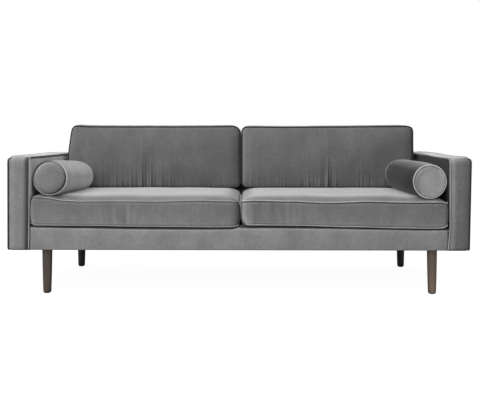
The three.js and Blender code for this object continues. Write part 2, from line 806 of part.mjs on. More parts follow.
// Seat cushions, side by side on the deck
const cushionOuter = armInnerFace - pipingProud - cushionSideGap;
const seatWidth = cushionOuter - cushionMiddleGap / 2;
const seatCentreX = (cushionOuter + cushionMiddleGap / 2) / 2;
const seatBase = deckTop + fitGap;
const seatFrontY = frontFace + seatSetback;
const seatRearY = backFaceY(seatBase) - seatRearGap;
const seatStartTop = seatBase + seatEdgeHeight + seatCrown + fitGap; // loose pieces settle from here

function seatCushion({ name, sign }) {
  const geometry = boxedCushion({
    width: seatWidth,
    length: seatRearY - seatFrontY,
    edgeHeight: seatEdgeHeight,
    crown: seatCrown,
    pulls: [cushionDrawIn, cushionDrawIn, cushionDrawIn, cushionDrawIn],
  });
  geometry.translate(sign * seatCentreX, (seatFrontY + seatRearY) / 2, seatBase);
  addPiece(`${name}_seat_cushion`, geometry, velvet);
  return geometry;
}

// Back cushions, standing on the seat cushions and leaning on the inner back
const backCushionOuter = armInnerFace - backCushionSideGap;
const backCushionWidth = backCushionOuter - cushionMiddleGap / 2;
const backCushionCentreX = (backCushionOuter + cushionMiddleGap / 2) / 2;
const backCushionRearY = backFaceY(seatStartTop) - backCushionRearGap;

function backCushion({ name, sign }, seat) {
  const geometry = boxedCushion({
    width: backCushionWidth,
    length: backCushionHeight,
    edgeHeight: backCushionThickness,
    crown: backCushionCrown,
    pulls: [cushionDrawIn, cushionDrawIn, cushionDrawIn, 0],
  });
  geometry.rotateX(Math.PI / 2).translate(0, 0, backCushionHeight / 2);
  const lean = new THREE.Matrix4().makeShear(0, 0, 0, 0, 0, Math.tan(backRake));
  geometry.applyMatrix4(lean);
  geometry.translate(sign * backCushionCentreX, backCushionRearY, seatStartTop);
  const downTheBack = new THREE.Vector3(0, -Math.sin(backRake), -Math.cos(backRake));
  addPiece(`${name}_back_cushion`, restOn(seat, geometry, downTheBack), velvet);
}

// Bolsters, lying on the seat cushions against the arms
const bolsterFrontY = frontFace + bolsterFromFront;
const bolsterRearY = backCushionRearY - backCushionThickness - bolsterBackGap;
const bolsterHalf = (bolsterRearY - bolsterFrontY) / 2 - bolsterEndDome;
const bolsterX =
  armInnerFace - pipingProud - bolsterArmGap - bolsterRadius - bolsterHalf * Math.sin(bolsterToeIn);
const bolsterY = (bolsterFrontY + bolsterRearY) / 2;

function bolster({ name, sign }, seat) {
  const seam = bolsterEndRadius - cushionSeamDepth;
  const bodyShares = [0.97, 0.8, 0.5, 0];
  const domeShares = [0.55, 0.9];
  const bodyHalf = bolsterHalf - 2 * pipingRadius;
  const swell = (share) =>
    bolsterEndRadius + (bolsterRadius - bolsterEndRadius) * (1 - share ** bolsterSwellPower);
  const oneEnd = [
    [0, bolsterHalf + bolsterEndDome],
    ...domeShares.map((share) => [seam * share, bolsterHalf + bolsterEndDome * (1 - share * share)]),
    [seam, bolsterHalf],
    [bolsterEndRadius, bolsterHalf],
    [bolsterEndRadius + pipingProud, bolsterHalf - pipingRadius],
    [bolsterEndRadius, bodyHalf],
    ...bodyShares.map((share) => [swell(share), bodyHalf * share]),
  ];
  const otherEnd = oneEnd.slice(0, -1).map(([r, z]) => [r, -z]);
  const geometry = turned([...otherEnd, ...oneEnd.reverse()], bolsterSides).rotateX(Math.PI / 2);
  geometry.rotateZ(sign * bolsterToeIn);
  geometry.translate(sign * bolsterX, bolsterY, seatStartTop + bolsterRadius);
  addPiece(`${name}_bolster`, restOn(seat, geometry, new THREE.Vector3(0, 0, -1)), velvet);
}

seatBox();
backFrame();
backCover();
seatCovers();
for (const side of sides) {
  armFrame(side);
  armCover(side);
  seatWebbing(side);
  armBoltPlaces().forEach((y, i) => armBolt(side.sign, y, `${side.name}_arm_${["front", "rear"][i]}_bolt`));
  leg(side.sign, frontLegY, `${side.name}_front`);
  leg(side.sign, rearLegY, `${side.name}_rear`);
  const seat = seatCushion(side);
  backCushion(side, seat);
  bolster(side, seat);
}

export default sofa;
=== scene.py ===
import json
import math

import bpy
import numpy as np
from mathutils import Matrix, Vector


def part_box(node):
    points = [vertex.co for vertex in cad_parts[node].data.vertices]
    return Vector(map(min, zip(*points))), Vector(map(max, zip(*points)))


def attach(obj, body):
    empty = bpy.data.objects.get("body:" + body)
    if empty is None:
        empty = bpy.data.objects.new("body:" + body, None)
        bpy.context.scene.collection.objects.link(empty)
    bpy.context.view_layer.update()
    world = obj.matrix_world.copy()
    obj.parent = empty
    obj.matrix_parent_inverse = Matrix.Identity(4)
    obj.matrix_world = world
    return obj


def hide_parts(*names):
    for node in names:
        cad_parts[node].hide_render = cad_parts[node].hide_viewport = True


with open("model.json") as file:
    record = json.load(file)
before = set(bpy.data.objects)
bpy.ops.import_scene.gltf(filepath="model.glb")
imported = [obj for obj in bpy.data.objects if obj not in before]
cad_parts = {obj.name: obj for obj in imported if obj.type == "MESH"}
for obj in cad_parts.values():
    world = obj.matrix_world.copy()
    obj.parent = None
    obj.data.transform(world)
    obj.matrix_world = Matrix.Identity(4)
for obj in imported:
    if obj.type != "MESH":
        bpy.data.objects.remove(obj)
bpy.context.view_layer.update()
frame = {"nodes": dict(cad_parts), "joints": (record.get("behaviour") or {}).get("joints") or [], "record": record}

SIDES = (("left", -1.0), ("right", 1.0))
MM = 0.001

# Camera, from the photograph's edges
CAMERA_PLACE = (0.0469, -3.8609, 0.7619)
CAMERA_AIM = (-0.012, 0.99993, 0.0)
CAMERA_LENS = 54.11
CAMERA_SENSOR = 36.0
CAMERA_SHIFT_Y = -0.153

# Light and floor
WORLD_LIGHT = (0.38, 0.38, 0.38)
LAMPS = {  # place, aim, size and power
    "top_light": ((-0.3, -0.7, 3.2), (0.0, 0.0, 0.3), (4.0, 2.6), 155.0),
    "front_light": ((-1.9, -4.5, 2.0), (0.0, 0.0, 0.4), (2.4, 2.4), 110.0),
}
FLOOR_HALF = 14.0
FLOOR_PAINT = (0.3, 0.3, 0.3, 1.0)  # as it lights the sofa from below
FLOOR_SEEN = (0.12, 0.12, 0.12, 1.0)  # as the camera sees it, under the glow
FLOOR_GLOW = (0.96, 0.96, 0.96, 1.0)

# Soft forms
CELL = 0.016  # simulated mesh, before it is refined
EDGE_STEPS = (0.0, 0.1, 0.22, 0.38, 0.58, 0.8)  # cells from a seam
PIPING_RADIUS = 0.003
PIPING_PROUD = 0.0014
PIPING_SIDES = 10
SIM_FRAMES = 20
SIM_PRESSURE = 4.0
SIM_EXPAND = 0.006  # share by which the cloth grows
SIM_BENDING = 0.8


# Camera, light and stage
def make_camera():
    data = bpy.data.cameras.new("camera")
    data.sensor_width = CAMERA_SENSOR
    data.lens = CAMERA_LENS
    data.shift_y = CAMERA_SHIFT_Y
    data.clip_end = 100.0
    camera = bpy.data.objects.new("camera", data)
    camera.location = CAMERA_PLACE
    camera.rotation_mode = "QUATERNION"
    camera.rotation_quaternion = Vector(CAMERA_AIM).to_track_quat("-Z", "Y")
    bpy.context.scene.collection.objects.link(camera)
    bpy.context.scene.camera = camera
    bpy.context.scene.view_settings.view_transform = "Standard"


def area_light(name, place, target, size, power):
    data = bpy.data.lights.new(name, "AREA")
    data.shape = "RECTANGLE"
    data.size, data.size_y = size
    data.energy = power
    lamp = bpy.data.objects.new(name, data)
    lamp.location = place
    aim = Vector(target) - Vector(place)
    lamp.rotation_mode = "QUATERNION"
    lamp.rotation_quaternion = aim.to_track_quat("-Z", "Y")
    bpy.context.scene.collection.objects.link(lamp)


class Nodes:
    """Short calls for a material's node tree."""

    def __init__(self, tree):
        self.tree = tree
        tree.nodes.clear()

    def add(self, kind, settings=None, **inputs):
        node = self.tree.nodes.new(kind)
        for key, value in (settings or {}).items():
            setattr(node, key, value)
        for key, value in inputs.items():
            self.set(node, key, value)
        return node

    def set(self, node, key, value):
        name = key.replace("_", " ")
        socket = node.inputs[int(key[1:])] if key[0] == "i" and key[1:].isdigit() else node.inputs[name]
        if isinstance(value, bpy.types.NodeSocket):
            self.tree.links.new(value, socket)
        else:
            socket.default_value = value

    def ramp(self, factor, stops):
        node = self.add("ShaderNodeValToRGB", Fac=factor)
        elements = node.color_ramp.elements
        while len(elements) < len(stops):
            elements.new(0.5)
        for element, (place, grey) in zip(elements, stops):
            element.position = place
            element.color = (*grey, 1.0) if isinstance(grey, tuple) else (grey, grey, grey, 1.0)
        return node.outputs["Color"]

    def mix(self, kind, factor, a, b):
        node = self.add("ShaderNodeMix", {"data_type": "RGBA", "blend_type": kind})
        for i, value in ((0, factor), (6, a), (7, b)):
            if isinstance(value, bpy.types.NodeSocket):
                self.tree.links.new(value, node.inputs[i])
            else:
                node.inputs[i].default_value = value
        return node.outputs[2]

    def math(self, operation, a, b=0.0):
        node = self.add("ShaderNodeMath", {"operation": operation}, i0=a, i1=b)
        return node.outputs[0]

    def noise(self, place, scale, detail, roughness, **inputs):
        node = self.add(
            "ShaderNodeTexNoise", Vector=place, Scale=scale, Detail=detail, Roughness=roughness, **inputs
        )
        return node.outputs["Fac"]

    def surface(self, colour, roughness, bump, **inputs):
        """Wires a principled shader to the output; bump is a strength, a distance and a height."""
        strength, distance, height = bump
        raised = self.add("ShaderNodeBump", Strength=strength, Distance=distance, Height=height)
        inputs["Normal"] = raised.outputs["Normal"]
        shader = self.add("ShaderNodeBsdfPrincipled", Base_Color=colour, Roughness=roughness, **inputs)
        self.output(shader)

    def output(self, shader, kind="ShaderNodeOutputMaterial"):
        self.set(self.add(kind), "Surface", shader.outputs[0])


def new_material(name):
    material = bpy.data.materials.new(name)
    material.use_nodes = True
    return material, Nodes(material.node_tree)


def make_stage():
    world = bpy.data.worlds.new("studio")
    world.use_nodes = True
    bpy.context.scene.world = world
    nodes = Nodes(world.node_tree)
    path = nodes.add("ShaderNodeLightPath")
    seen = nodes.math("MAXIMUM", path.outputs["Is Camera Ray"], path.outputs["Is Glossy Ray"])
    seen = nodes.math("MAXIMUM", seen, path.outputs["Is Transmission Ray"])
    colour = nodes.mix("MIX", seen, (*WORLD_LIGHT, 1.0), (1.0, 1.0, 1.0, 1.0))
    nodes.output(nodes.add("ShaderNodeBackground", Color=colour), "ShaderNodeOutputWorld")
    for name, lamp in LAMPS.items():
        area_light(name, *lamp)

    mesh = bpy.data.meshes.new("floor")
    corners = [(x * FLOOR_HALF, y * FLOOR_HALF, 0.0) for x, y in ((-1, -1), (1, -1), (1, 1), (-1, 1))]
    mesh.from_pydata(corners, [], [(0, 1, 2, 3)])
    floor = bpy.data.objects.new("floor", mesh)
    bpy.context.scene.collection.objects.link(floor)
    material, nodes = new_material("floor_paint")
    seen = nodes.add("ShaderNodeLightPath").outputs["Is Camera Ray"]
    paint = nodes.mix("MIX", seen, FLOOR_PAINT, FLOOR_SEEN)
    matt = nodes.add("ShaderNodeBsdfDiffuse", Color=paint)
    glow = nodes.add("ShaderNodeEmission", Color=FLOOR_GLOW, Strength=seen)
    nodes.output(nodes.add("ShaderNodeAddShader", i0=matt.outputs[0], i1=glow.outputs[0]))
    mesh.materials.append(material)


# Materials
# Ramps of painted shade by nearness to a seam, with a slight painted highlight on the roll beside it
SOFT_SEAM = ((0.0, 1.0), (0.4, 1.06), (0.65, 0.95), (0.8, 0.5), (1.0, 0.1))  # shade by nearness
SHARP_SEAM = ((0.0, 1.0), (0.4, 1.08), (0.6, 0.95), (0.78, 0.42), (1.0, 0.03))
BROAD = (0.1, 2.2)  # least and greatest shade of a lean, which paints light and shade by how a surface faces
BRUSHED = (9.0, 5.0, 0.62)  # scale, detail and roughness of a noise
STREAKS = (95.0, 3.0, 0.65)
PILE = (700.0, 2.0, 0.6)
PILE_BUMP = (0.45, 0.0008)  # strength and distance
GRAIN = (70.0, 6.0, 0.62)
PORES = (900.0, 2.0, 0.5)
GRAIN_BUMP = (0.25, 0.0004)
LEVEL_PAINTED_LIGHT = (  # painted light and shade by how level the surface faces, brightest on a flat top
    (0.0, 0.97), (0.25, 1.12), (0.7, 1.01), (0.93, 0.96), (0.978, 1.4), (0.995, 1.87), (1.0, 1.97)
)
# Painted light on the arm tops, by how level they face
ARM_TOP_SHADE = ((0.0, 1.0), (0.92, 1.0), (1.0, 2.0))


def velvet(name, grey, *painted_facing_shades, sheen=0.6, seed=0.0, seam=SOFT_SEAM, level=None):
    """Short-pile velvet: brushed patches, a fine pile, painted shade beside seams and sheen at grazing angles.

    A surface is painted lighter the more it turns towards some direction, as painted light and shade
    by how it faces: each lean is that direction, its strength, and the least and greatest shade.
    Level gives painted light on a top by how level it faces.
    """
    material, nodes = new_material(name)
    coordinates = nodes.add("ShaderNodeTexCoord")
    shift = (seed, seed * 0.7, seed * 1.3)
    place = nodes.add("ShaderNodeVectorMath", i0=coordinates.outputs["Object"], i1=shift).outputs[0]
    stretched = nodes.add("ShaderNodeMapping", Vector=place, Scale=(1.0, 1.0, 0.7)).outputs[0]
    brushed = nodes.noise(stretched, *BRUSHED)
    streaks = nodes.noise(stretched, *STREAKS)
    pile = nodes.noise(place, *PILE)
    brushed_shade = nodes.ramp(brushed, [(0.3, 0.86), (0.7, 1.13)])
    streak_shade = nodes.ramp(streaks, [(0.3, 0.9), (0.7, 1.1)])
    pile_shade = nodes.ramp(pile, [(0.25, 0.82), (0.75, 1.18)])
    # Painted shade beside seams, in gaps and below other parts, read from a point attribute
    painted_shade = nodes.add("ShaderNodeAttribute", {"attribute_name": "painted_shade"}).outputs["Fac"]
    shades = [brushed_shade, streak_shade, pile_shade, nodes.ramp(painted_shade, seam)]
    normal = coordinates.outputs["Normal"]
    # Painted light and shade by how the surface faces
    for lighter, facing_strength, (least, most) in painted_facing_shades:
        lean = nodes.add("ShaderNodeVectorMath", {"operation": "DOT_PRODUCT"}, i0=normal, i1=lighter)
        painted_facing_shade = nodes.math("ADD", nodes.math("MULTIPLY", lean.outputs["Value"], facing_strength), 1.0)
        shades.append(nodes.math("MINIMUM", nodes.math("MAXIMUM", painted_facing_shade, least), most))
    # Painted light on tops, by how level they face
    if level:
        upward = nodes.add("ShaderNodeSeparateXYZ", Vector=normal).outputs["Z"]
        shades.append(nodes.ramp(upward, level))
    colour = (grey, grey, grey, 1.0)
    for shade in shades:
        colour = nodes.mix("MULTIPLY", 1.0, colour, shade)
    rough = nodes.ramp(brushed, [(0.2, 0.82), (0.8, 0.96)])
    height = nodes.math("ADD", pile, nodes.math("MULTIPLY", streaks, 1.6))
    nodes.surface(
        colour,
        rough,
        (*PILE_BUMP, height),
        Specular_IOR_Level=0.12,
        Sheen_Weight=sheen,
        Sheen_Roughness=0.28,
        Sheen_Tint=(0.95, 0.95, 0.95, 1.0),
    )
    return material


def wood(name, dark, light, roughness, coat=0.0, along="Z"):
    """Straight-grained wood with fine pores along one axis."""
    material, nodes = new_material(name)
    place = nodes.add("ShaderNodeTexCoord").outputs["Object"]
    stretch = {"X": (0.06, 1.0, 1.0), "Y": (1.0, 0.06, 1.0), "Z": (1.0, 1.0, 0.06)}[along]
    grain_place = nodes.add("ShaderNodeMapping", Vector=place, Scale=stretch).outputs[0]
    grain = nodes.noise(grain_place, *GRAIN, Distortion=0.6)
    pores = nodes.noise(grain_place, *PORES)
    colour = nodes.ramp(grain, [(0.32, dark), (0.68, light)])
    colour = nodes.mix("MULTIPLY", 0.8, colour, nodes.ramp(pores, [(0.36, 0.72), (0.5, 1.0)]))
    height = nodes.math("ADD", grain, pores)
    nodes.surface(colour, roughness, (*GRAIN_BUMP, height), Coat_Weight=coat, Coat_Roughness=0.3)
    return material


def woven(name, colour, scale):
    """Plain weave from two crossed sets of threads."""
    material, nodes = new_material(name)
    place = nodes.add("ShaderNodeTexCoord").outputs["Object"]
    threads = 1.0
    for direction in ("X", "Y"):
        settings = {"wave_type": "BANDS", "wave_profile": "SIN", "bands_direction": direction}
        band = nodes.add("ShaderNodeTexWave", settings, Vector=place, Scale=scale, Distortion=0.4)
        threads = nodes.math("MULTIPLY", band.outputs["Fac"], threads)
    shade = nodes.ramp(threads, [(0.0, tuple(0.55 * c for c in colour)), (0.8, colour)])
    nodes.surface(shade, 0.9, (0.4, 0.0005, threads))
    return material


def speckled(name, dark, light, scale, roughness, metallic=0.0):
    """A fine mottled surface for pressed board, moulded plastic or plated steel."""
    material, nodes = new_material(name)
    place = nodes.add("ShaderNodeTexCoord").outputs["Object"]
    grains = nodes.noise(place, scale, 4.0, 0.6)
    colour = nodes.ramp(grains, [(0.35, dark), (0.65, light)])
    nodes.surface(colour, roughness, (0.15, 0.0003, grains), Metallic=metallic)
    return material


# Mesh helpers
def mesh_object(name, vertices, faces, materials, painted_shade=None, panels=None):
    """A smooth mesh; panels numbers each face's material where there are several, and the point attribute carries
    painted shade.
    """
    mesh = bpy.data.meshes.new(name)
    mesh.from_pydata([tuple(v) for v in vertices], [], [tuple(f) for f in faces])
    for material in materials if isinstance(materials, (list, tuple)) else [materials]:
        mesh.materials.append(material)
    if panels is not None:
        mesh.polygons.foreach_set("material_index", panels)
    if painted_shade is not None:
        mesh.attributes.new("painted_shade", "FLOAT", "POINT").data.foreach_set("value", painted_shade)
    mesh.polygons.foreach_set("use_smooth", [True] * len(mesh.polygons))
    mesh.update()
    piece = bpy.data.objects.new(name, mesh)
    bpy.context.scene.collection.objects.link(piece)
    return piece


def finish_piece(piece, body, slot, *nodes):
    if nodes:
        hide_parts(*nodes)
    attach(piece, body)


def ring_faces(count, around, closed=False, capped=False):
    """Quads between rings that follow each other, each of as many points as the others."""
    faces = []
    for i in range(count if closed else count - 1):
        j = (i + 1) % count
        for k in range(around):
            m = (k + 1) % around
            faces.append((i * around + k, i * around + m, j * around + m, j * around + k))
    if capped:
        faces.append(tuple(reversed(range(around))))
        faces.append(tuple((count - 1) * around + k for k in range(around)))
    return faces


def tube(points, radius, closed, sides=PIPING_SIDES):
    """Vertices and faces of a round tube along points."""
    points = np.asarray(points, float)
    if closed:
        tangents = np.roll(points, -1, 0) - np.roll(points, 1, 0)
    else:
        tangents = np.gradient(points, axis=0)
    tangents /= np.linalg.norm(tangents, axis=1)[:, None]
    start = np.cross(tangents[0], (0.31, 0.52, 0.79))
    normals = [start / np.linalg.norm(start)]
    for tangent in tangents[1:]:
        normal = normals[-1] - tangent * (normals[-1] @ tangent)
        normals.append(normal / np.linalg.norm(normal))
    normals = np.array(normals)
    if closed:
        carried = normals[-1] - tangents[0] * (normals[-1] @ tangents[0])
        carried /= np.linalg.norm(carried)
        across = np.cross(tangents[0], normals[0])
        twist = math.atan2(carried @ across, carried @ normals[0])
        turn = -twist * np.arange(len(points)) / len(points)
        binormals = np.cross(tangents, normals)
        normals = normals * np.cos(turn)[:, None] + binormals * np.sin(turn)[:, None]
    binormals = np.cross(tangents, normals)
    angles = 2 * math.pi * np.arange(sides) / sides
    rings = (
        points[:, None]
        + radius * np.cos(angles)[None, :, None] * normals[:, None]
        + radius * np.sin(angles)[None, :, None] * binormals[:, None]
    )
    return rings.reshape(-1, 3), ring_faces(len(points), sides, closed, capped=not closed)


def joined(parts):
    """One list of vertices and one of faces, from several."""
    vertices, faces, base = [], [], 0
    for part_vertices, part_faces in parts:
        vertices.append(np.asarray(part_vertices, float))
        faces.extend(tuple(base + i for i in face) for face in part_faces)
        base += len(part_vertices)
    return np.concatenate(vertices), faces


def sampled(values, places, axis, closed=False):
    """A grid of points read along one axis at places between its points, on a smooth curve."""
    v = np.moveaxis(values, axis, 0)
    count = len(v)
    places = np.asarray(places, float)
    i = np.floor(places).astype(int)
    if closed:
        take = lambda k: v[k % count]
    else:
        i = np.clip(i, 0, count - 2)
        padded = np.concatenate([2 * v[:1] - v[1:2], v, 2 * v[-1:] - v[-2:-1]])
        take = lambda k: padded[k + 1]
    a, b, c, d = take(i - 1), take(i), take(i + 1), take(i + 2)
    t = (places - i).reshape(-1, *([1] * (v.ndim - 1)))
    out = b + 0.5 * t * (c - a + t * (2 * a - 5 * b + 4 * c - d + t * (3 * (b - c) + d - a)))
    return np.moveaxis(out, 0, axis)


def seam_places(cells, parts):
    """Places across a run of cells, each cut into parts, close together beside the seams."""
    edge = np.array(EDGE_STEPS)
    return np.concatenate([edge, np.arange(parts, parts * (cells - 1) + 1) / parts, cells - edge[::-1]])


class BoxedForm:
    """Two panels and the border between them, as grids of points that share their seams.

    Local axes: the panels lie in x and y, and z runs from the rear panel to the face.
    """

    def __init__(self, size, radii, cell=CELL):
        self.size = np.array(size, float)
        self.radii = radii  # at (-x, -y), (+x, -y), (+x, +y), (-x, +y)
        self.cells = [max(4, 2 * round(s / cell / 2)) for s in self.size]
        self.measure([np.linspace(0, 1, count + 1) for count in self.cells])
        x, y = self.plan()
        z = np.full_like(x, self.size[2] / 2)
        self.face = np.stack([x, y, z], -1)
        self.rear = np.stack([x, y, -z], -1)
        rows = np.linspace(0, 1, self.cells[2] + 1)[:, None, None]
        self.border = self.loop(self.rear)[None] * (1 - rows) + self.loop(self.face)[None] * rows

    def measure(self, shares):
        """Shares of the way across the panels, and around and up the border."""
        share_x, share_y, share_z = shares
        self.u = (2 * share_x[:, None] - 1) * np.ones(len(share_y))
        self.v = np.ones(len(share_x))[:, None] * (2 * share_y - 1)
        self.t = share_z[:, None]
        self.loop_u = self.loop(self.u[..., None])[:, 0]
        self.loop_v = self.loop(self.v[..., None])[:, 0]

    def plan(self):
        half_x, half_y = self.size[0] / 2, self.size[1] / 2
        x, y = self.u * half_x, self.v * half_y
        for (sx, sy), r in zip(((-1, -1), (1, -1), (1, 1), (-1, 1)), self.radii):
            if r <= 0:
                continue
            dx, dy = sx * x - (half_x - r), sy * y - (half_y - r)
            inside = (dx > 0) & (dy > 0)
            scale = np.where(inside, np.maximum(dx, dy) / np.maximum(np.hypot(dx, dy), 1e-9), 1.0)
            x = np.where(inside, sx * (half_x - r + dx * scale), x)
            y = np.where(inside, sy * (half_y - r + dy * scale), y)
        return x, y

    @staticmethod
    def loop(panel):
        """A panel's edge, anticlockwise from its first corner."""
        return np.concatenate([panel[:-1, 0], panel[-1, :-1], panel[:0:-1, -1], panel[0, :0:-1]])

    def set_loop(self, panel, values):
        nx, ny = panel.shape[0] - 1, panel.shape[1] - 1
        panel[:-1, 0] = values[:nx]
        panel[-1, :-1] = values[nx : nx + ny]
        panel[:0:-1, -1] = values[nx + ny : 2 * nx + ny]
        panel[0, :0:-1] = values[2 * nx + ny :]

    def share_seams(self):
        """Panels take their edges from the border."""
        self.set_loop(self.rear, self.border[0])
        self.set_loop(self.face, self.border[-1])

    def refine(self, parts=(2, 2, 2)):
        """Reads the form again on a finer grid, with rows close together beside the seams."""
        nx, ny, nz = self.cells
        px, py, pz = map(seam_places, self.cells, parts)
        self.face = sampled(sampled(self.face, px, 0), py, 1)
        self.rear = sampled(sampled(self.rear, px, 0), py, 1)
        around = np.concatenate(
            [px[:-1], nx + py[:-1], 2 * nx + ny - px[:0:-1], 2 * nx + 2 * ny - py[:0:-1]]
        )
        self.border = sampled(sampled(self.border, around, 1, closed=True), pz, 0)
        self.measure([px / nx, py / ny, pz / nz])
        self.cells = [len(px) - 1, len(py) - 1, len(pz) - 1]
        self.share_seams()

    def outward(self):
        """Unit normals of the border in the plane of the panels, one for each place around it."""
        middle = self.border[len(self.border) // 2]
        tangent = np.roll(middle, -1, 0) - np.roll(middle, 1, 0)
        normal = np.stack([tangent[:, 1], -tangent[:, 0], np.zeros(len(tangent))], -1)
        return normal / np.linalg.norm(normal, axis=1)[:, None]

    def around(self):
        """Distance along the border from its first corner, and its whole length."""
        middle = self.border[len(self.border) // 2]
        steps = np.linalg.norm(np.roll(middle, -1, 0) - middle, axis=1)
        return np.concatenate([[0], np.cumsum(steps)[:-1]]), steps.sum()

    def grids(self):
        """Each grid with its shares of the way across, along and up."""
        yield self.face, self.u, self.v, np.ones(1)
        yield self.rear, self.u, self.v, np.zeros(1)
        yield self.border, self.loop_u[None], self.loop_v[None], self.t

    def painted_seam_shades(self, reach=0.02):
        """How close each point of each grid is to a seam, from 0 beyond the reach to 1 there, used as painted
        shade beside the seams.
        """
        panel = np.clip(1 - self.edge_distance() / reach, 0, 1)
        height = self.size[2] * np.minimum(self.t, 1 - self.t)
        return [panel, panel, np.clip(1 - height / reach, 0, 1) * np.ones(len(self.loop_u))]

    @staticmethod
    def flat(shades):
        """The values of each grid in the order of the form's points."""
        face, rear, border = shades
        return np.concatenate([face.ravel(), rear.ravel(), border[1:-1].ravel()])

    def points(self):
        return np.concatenate(
            [self.face.reshape(-1, 3), self.rear.reshape(-1, 3), self.border[1:-1].reshape(-1, 3)]
        )

    def take(self, points):
        count = self.face[..., 0].size
        self.face = points[:count].reshape(self.face.shape).copy()
        self.rear = points[count : 2 * count].reshape(self.rear.shape).copy()
        self.border[1:-1] = points[2 * count :].reshape(self.border[1:-1].shape)
        self.border[0] = self.loop(self.rear)
        self.border[-1] = self.loop(self.face)

    def faces(self):
        nx, ny, nz = self.cells
        count = (nx + 1) * (ny + 1)
        index = np.arange(count).reshape(nx + 1, ny + 1)
        a, b, c, d = index[:-1, :-1], index[1:, :-1], index[1:, 1:], index[:-1, 1:]
        front = np.stack([a, b, c, d], -1).reshape(-1, 4)
        back = np.stack([d, c, b, a], -1).reshape(-1, 4) + count
        ring = self.loop(index[..., None])[:, 0]
        around = len(ring)
        inner = 2 * count + np.arange((nz - 1) * around).reshape(nz - 1, around)
        rows = np.concatenate([(ring + count)[None], inner, ring[None]])
        following = np.roll(rows, -1, 1)
        side = np.stack([rows[:-1], following[:-1], following[1:], rows[1:]], -1).reshape(-1, 4)
        return np.concatenate([front, back, side])

    def panels(self):
        """0 for each quad of the face, 1 for the rear panel and 2 for the border."""
        quads = (self.face.shape[0] - 1) * (self.face.shape[1] - 1)
        return [0] * quads + [1] * quads + [2] * (len(self.faces()) - 2 * quads)

    def seam_ids(self):
        index = np.arange(self.face[..., 0].size).reshape(self.face.shape[:2])
        ring = self.loop(index[..., None])[:, 0]
        return ring, ring + self.face[..., 0].size

    def inner_share(self):
        """1 over most of a panel, falling to 0 at its seam."""
        return (1 - self.u**8) * (1 - self.v**8)

    def edge_distance(self):
        """Distance of each panel point from the nearest seam."""
        across = (1 - np.abs(self.u)) * self.size[0] / 2
        along = (1 - np.abs(self.v)) * self.size[1] / 2
        return np.minimum(across, along)

    def roll_seams(self, panel, border):
        """Rolls the panels and the border into their seams; each is a depth and a width."""
        self.rolled = (panel[0], border[0])
        fall = panel[0] * np.clip(1 - self.edge_distance() / panel[1], 0, 1) ** 2.2
        self.face[..., 2] -= fall
        self.rear[..., 2] += fall
        height = self.size[2]
        inner = sum(np.clip(1 - edge * height / border[1], 0, 1) ** 2.5 for edge in (self.t, 1 - self.t))
        self.border -= self.outward()[None] * (border[0] * inner)[..., None]
        for level, way in ((0, 1.0), (-1, -1.0)):
            self.border[level][:, 2] += way * panel[0]
        self.share_seams()

    def seam_path(self, level):
        """The piping's centre line on one seam: level is 0 for the rear panel and -1 for the face."""
        sunk = PIPING_RADIUS - PIPING_PROUD
        way = 1.0 if level == -1 else -1.0
        lift = np.array([0.0, 0.0, way * (self.rolled[0] - sunk)])
        return self.border[level] + self.outward() * (self.rolled[1] - sunk) + lift


def inflate(form, to_world, cap):
    """Swells a form by no more than the cap with a short cloth simulation; its seams and rear are held."""
    rest = form.points()
    sim = mesh_object("sim", placed(rest, to_world), form.faces(), plain_grey())
    held = sim.vertex_groups.new(name="held")
    face_ring, rear_ring = form.seam_ids()
    count = form.face[..., 0].size
    pinned = list(map(int, np.concatenate([face_ring, rear_ring])))
    held.add(pinned, 1.0, "REPLACE")
    held.add(list(range(count, 2 * count)), 1.0, "REPLACE")
    cloth = sim.modifiers.new("cloth", "CLOTH")
    settings = cloth.settings
    settings.quality = 5
    settings.mass = 0.3
    settings.tension_stiffness = 18
    settings.compression_stiffness = 12
    settings.shear_stiffness = 6
    settings.bending_stiffness = SIM_BENDING
    settings.use_pressure = True
    settings.uniform_pressure_force = SIM_PRESSURE
    settings.shrink_min = -SIM_EXPAND
    settings.vertex_group_mass = "held"
    settings.effector_weights.gravity = 0.0
    cloth.point_cache.frame_start = 1
    cloth.point_cache.frame_end = SIM_FRAMES
    scene = bpy.context.scene
    for number in range(1, SIM_FRAMES + 1):
        scene.frame_set(number)
    evaluated = sim.evaluated_get(bpy.context.evaluated_depsgraph_get())
    moved = np.empty(len(rest) * 3)
    evaluated.data.vertices.foreach_get("co", moved)
    moved = placed(moved.reshape(-1, 3), np.linalg.inv(to_world))
    bpy.data.objects.remove(sim, do_unlink=True)
    scene.frame_set(1)
    step = moved - rest
    length = np.linalg.norm(step, axis=1)[:, None]
    step *= np.where(length > cap, cap / np.maximum(length, 1e-9), 1.0)
    face, rear, border = form.face.copy(), form.rear.copy(), form.border.copy()
    form.take(rest + step)
    form.face = face + softened(form.face - face)
    form.rear = rear + softened(form.rear - rear)
    form.border = border + softened(form.border - border, closed=True)
    form.share_seams()


def softened(moves, closed=False, passes=3):
    """A grid of moves without its finest folds, with its seams still held."""
    for _ in range(passes):
        along = np.pad(moves, ((0, 0), (1, 1), (0, 0)), mode="wrap" if closed else "edge")
        moves = (along[:, :-2] + 2 * moves + along[:, 2:]) / 4
        across = np.pad(moves, ((1, 1), (0, 0), (0, 0)), mode="edge")
        moves = (across[:-2] + 2 * moves + across[2:]) / 4
        moves[[0, -1]] = 0
        if not closed:
            moves[:, [0, -1]] = 0
    return moves


def plain_grey():
    return bpy.data.materials.get("sim_grey") or bpy.data.materials.new("sim_grey")


def crown(u, v, height, power=3.2):
    return height * (1 - np.abs(u) ** power) * (1 - np.abs(v) ** power)


